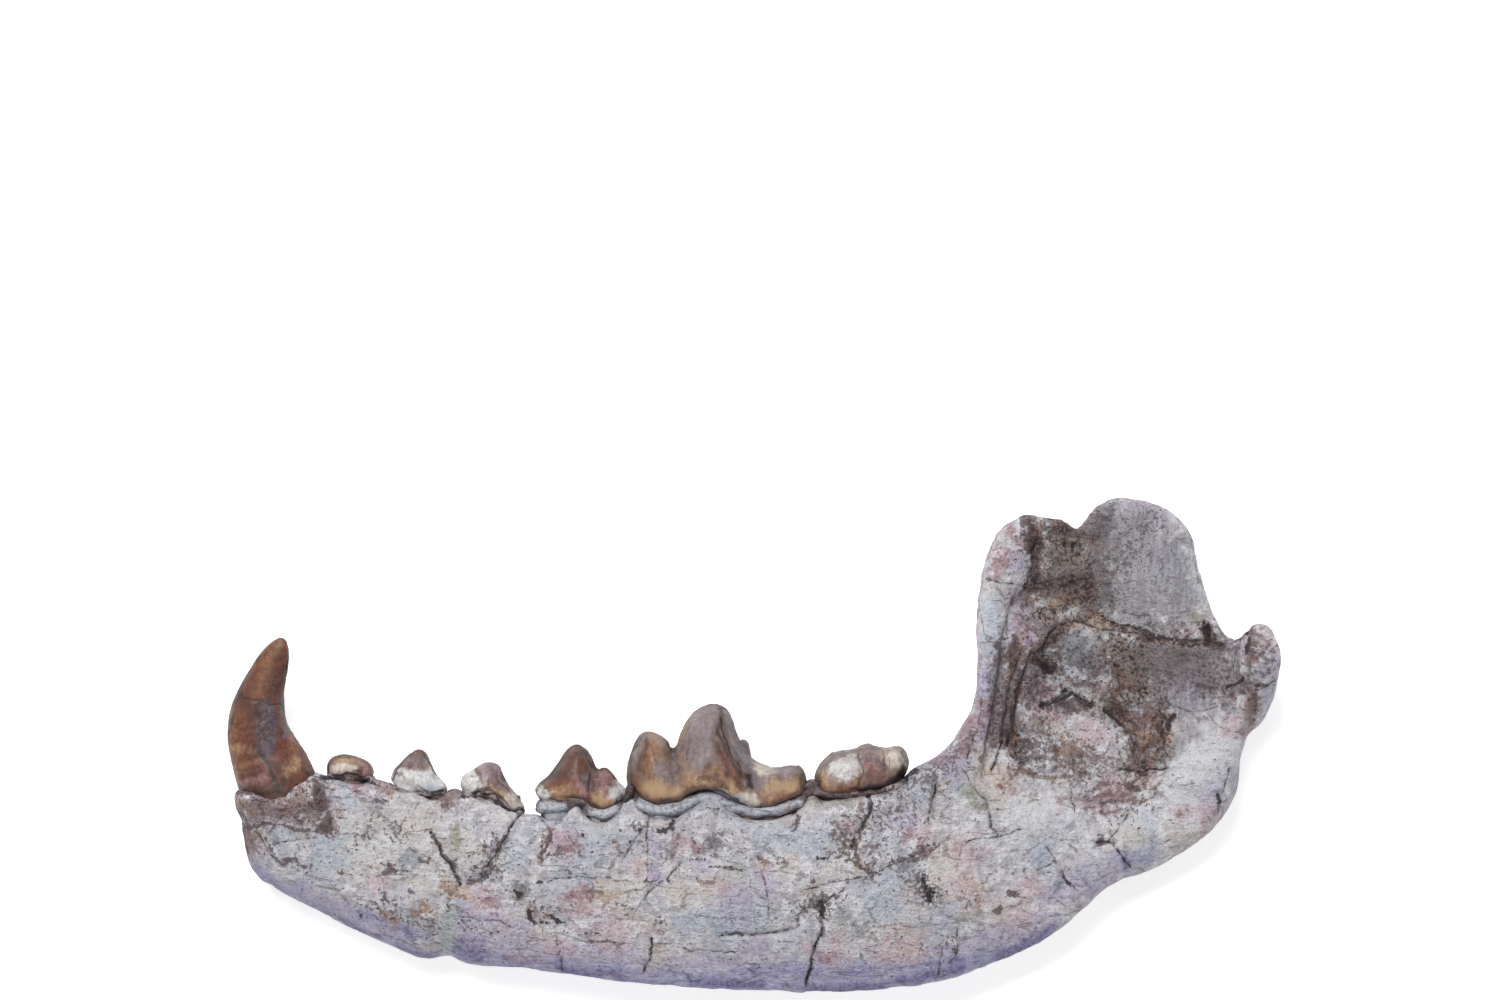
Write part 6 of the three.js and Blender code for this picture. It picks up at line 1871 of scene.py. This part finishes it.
CANINE_INNER = Marks(
    Side.INNER,
    moved=(-5, 14),
    stains=patches(ToothTone, """
        SAND: 14 1236,185 1232,200 / 8 1248,180 1246,230;
        LAVENDER: 6 1236,210 1238,230 / 1268,255 1268,285;
        AMBER: 7 1248,172 / 1255,195 1260,225 / 6 1224,156;
        GOLD: 4 1256,228 / 1233,176;
        CREAM: 15 1226,240 1244,246 / 16 1222,265 1226,285 / 12 1246,268 1248,282;
        CHALK 0.9: 5 1213,137 1229,138 / 8 1221,276 1237,286;
        CHALK 0.7: 4 1236,208 1238,226;
        ICE: 10 1243,242 / 11 1224,266 / 7 1262,258 / 9 1249,280;
        ROSE: 5 1232,193 / 1265,275 / 6 1220,246 / 1236,275;
        RED: 12 1222,150 1234,157 / 5 1226,172;
        BROWN: 3 1212,145 1218,170 1220,200 1221,225 / 1226,205 1228,230 / 1250,195 1250,235 / 1262,232
        1258,240 / 2.5 1246,183 1259,186;
        STEEL: 5 1250,257 / 1224,292 1240,290 / 4 1270,246;
        DARK: 1.6 1216,169 1232,167 / 2 1241,156 1252,168 1262,180 / 1250,286 1272,288 / 1222,134 1230,140 /
        1.8 1210,259 1216,251 1226,253 1238,262 / 3 1262,243 / 1260,270 1256,284;
        BLACK: 1.4 1260,192 1264,206 1271,219 / 3 1248,260
    """),
    cracks=(
        *cracks(0.22, 0.2, """
            1216,169 1226,168 1233,167 / 1210,259 1216,251 1226,253 1238,263 / 1258,268 1260,276 1256,285
        """, dark=0.8),
        *cracks(0.18, 0.1, """
            1246,183 1259,186 / 1236,264 1234,275 1238,288 / 1216,236 1231,242 1245,238 1263,244 / 1241,248
            1247,264 1259,272 / 1212,274 1225,278 1237,276
        """, dark=0.7),
    ),
    roughs=roughs("24 0.2 1.5 1225,245 1245,280"),
)
PREMOLAR_1_INNER = Marks(
    Side.INNER,
    moved=(-17, 3),
    stains=patches(ToothTone, """
        SAND: 10 1160,270 1182,266;
        LAVENDER: 5 1165,261 1178,260;
        GOLD: 5 1182,270;
        CHALK: 5 1148,279;
        ROSE: 4 1152,270 1158,274;
        DARK: 3 1160,284 1175,281 1188,273
    """),
)
PREMOLAR_2_INNER = Marks(
    Side.INNER,
    moved=(-16, 3),
    stains=patches(ToothTone, """
        MAUVE: 11 1098,262 1108,270;
        AMBER: 5 1090,286;
        GOLD: 7 1080,290 1092,286;
        HONEY: 4 1076,292;
        CREAM: 6 1098,282;
        CHALK: 9 1112,278 1122,286;
        ROSE: 6 1094,270;
        RED: 4 1108,290 1118,289;
        DARK: 2 1080,276 1086,264 / 2.5 1094,294 1106,289 1122,291;
        BLACK: 2.5 1066,298 1096,298
    """),
)
PREMOLAR_3_INNER = Marks(
    Side.INNER,
    moved=(-9, 5),
    stains=patches(ToothTone, """
        SAND: 7 1010,292 1000,298;
        GOLD: 4 1002,294;
        CREAM: 12 1035,292 1046,291;
        CHALK: 11 1018,274 1024,280;
        ROSE: 5 1037,280 1030,286;
        BROWN: 2.5 1012,282 1006,292 992,300;
        DARK: 1.8 1005,282 1012,270;
        BLACK: 2.5 1008,304 1022,302
    """),
)
PREMOLAR_4_INNER = Marks(
    Side.INNER,
    moved=(-6, 9),
    stains=patches(ToothTone, """
        MAUVE: 7 922,258 928,268;
        CHALK 1.25: 9 900,292 914,284 926,280 944,287 966,292;
        ICE 1.2: 9 904,314 910,309 / 954,311 962,309;
        ROSE: 5 950,292 / 905,284;
        RED: 8 930,262 924,268 / 6 908,273;
        BROWN: 7 936,252 946,268 / 4 952,275 962,286 / 902,276;
        DARK: 2.5 941,262 944,274 / 2 952,270 964,284 / 1.6 918,250 930,245;
        BLACK: 1.8 922,298 935,295 948,299
    """),
    cracks=cracks(0.18, 0.12, "898,284 914,276 924,273 940,279 960,288", dark=0.5),
)
CARNASSIAL_INNER = Marks(
    Side.INNER,
    moved=(-4, 8),
    stains=patches(ToothTone, """
        SAND: 12 868,255 874,275 / 8 778,225 / 10 735,280;
        LAVENDER: 18 800,222 802,248 / 12 850,245 / 5 710,268 738,268 / 9 838,274 / 6 804,290;
        MAUVE: 10 845,262 835,275 / 812,255 / 6 785,262;
        AMBER: 14 725,284 742,286 / 778,276 805,276 / 6 768,250;
        GOLD: 9 722,290 745,292 / 855,286 868,280 / 5 770,262;
        HONEY: 4 722,294 / 860,288 / 3 772,264;
        CREAM: 3 722,308 748,308 / 4 848,292;
        ICE 1.2: 9 836,316 850,314 / 8 724,314 754,314;
        ROSE: 7 716,275 / 845,245 / 8 770,250 / 6 850,294;
        RED: 5 770,246 / 7 833,254 / 4 785,225 785,240;
        BROWN: 6 765,286 792,284 / 4 802,208 818,218 826,235 / 3 880,262 883,282 / 5 818,272;
        STEEL: 5 748,272 / 4 735,268 / 8 812,250 815,265;
        DARK: 1.8 785,212 786,240 / 2.5 816,226 829,246 / 3 702,282 706,294 / 872,291 884,288 / 2 770,238
        776,240 / 868,235 880,262;
        BLACK: 4 833,243
    """),
    cracks=(
        *cracks(0.2, 0.15, "785,212 786,240 / 722,304 750,303 772,296 800,289 822,285", dark=0.8),
        *cracks(0.15, 0.08, "800,208 812,230 812,262 / 715,280 716,300", dark=0.5),
    ),
    swells=swells("3 -0.3 785,212 786,242 / 4 -0.3 833,240 833,262 / 7 0.3 768,250"),
)
MOLAR_2_INNER = Marks(
    Side.INNER,
    moved=(-2, 5),
    stains=patches(ToothTone, """
        SAND: 10 616,265;
        LAVENDER: 6 637,266 / 662,262;
        MAUVE: 8 628,258 640,252 / 6 676,292;
        AMBER: 8 686,283 / 6 610,270;
        GOLD: 8 630,271 / 5 672,277;
        HONEY: 5 616,263 628,270;
        CREAM: 6 672,285 / 5 660,284;
        CHALK: 5 650,262 643,272 646,284 / 4 658,261;
        ROSE: 6 666,270 / 5 655,292;
        RED: 8 612,276 628,282 / 5 690,288;
        STEEL: 4 645,253 664,255 / 3 660,262 668,262;
        DARK: 2.5 607,258 603,272 613,288 / 682,268 / 3.5 700,284 696,292 / 2 654,288 668,291;
        BLACK: 2.5 616,290 650,291 / 2 624,296 650,298
    """),
    cracks=cracks(0.18, 0.12, "650,258 645,270 648,284 / 656,288 670,291", dark=0.6),
    swells=swells("4 -0.3 655,266 650,280 / 6 -0.3 630,270"),
)


def teeth() -> list[Tooth]:
    """Returns the seven teeth with their finishes."""
    def enamel(name: str, light: str, dark: str, outer: Marks, inner: Marks, slot: str = "enamel") -> Tooth:
        """Makes a tooth of two ground colours with its marks."""
        return Tooth(name, EnamelFinish(name, light, dark), outer, inner, slot)
    return [
        enamel("canine", "6e402e", "4a2b20", CANINE_OUTER, CANINE_INNER, "canine_enamel"),
        enamel("premolar_1", "8c7065", "6e534a", PREMOLAR_1_OUTER, PREMOLAR_1_INNER),
        enamel("premolar_2", "8d8180", "6c5e5c", PREMOLAR_2_OUTER, PREMOLAR_2_INNER),
        enamel("premolar_3", "a5979a", "837378", PREMOLAR_3_OUTER, PREMOLAR_3_INNER),
        enamel("premolar_4", "6a453a", "4a3029", PREMOLAR_4_OUTER, PREMOLAR_4_INNER),
        enamel("carnassial", "83716a", "67544d", CARNASSIAL_OUTER, CARNASSIAL_INNER),
        enamel("molar_2", "917a70", "6e584f", MOLAR_2_OUTER, MOLAR_2_INNER),
    ]


def main() -> None:
    """Builds the studio, the bone, the sediment and the teeth."""
    logging.basicConfig(level=logging.INFO, format="%(message)s")
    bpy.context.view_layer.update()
    Studio().build()
    JawBone().build()
    Sediment().build()
    for tooth in teeth():
        tooth.build()


if __name__ == "__main__":
    main()
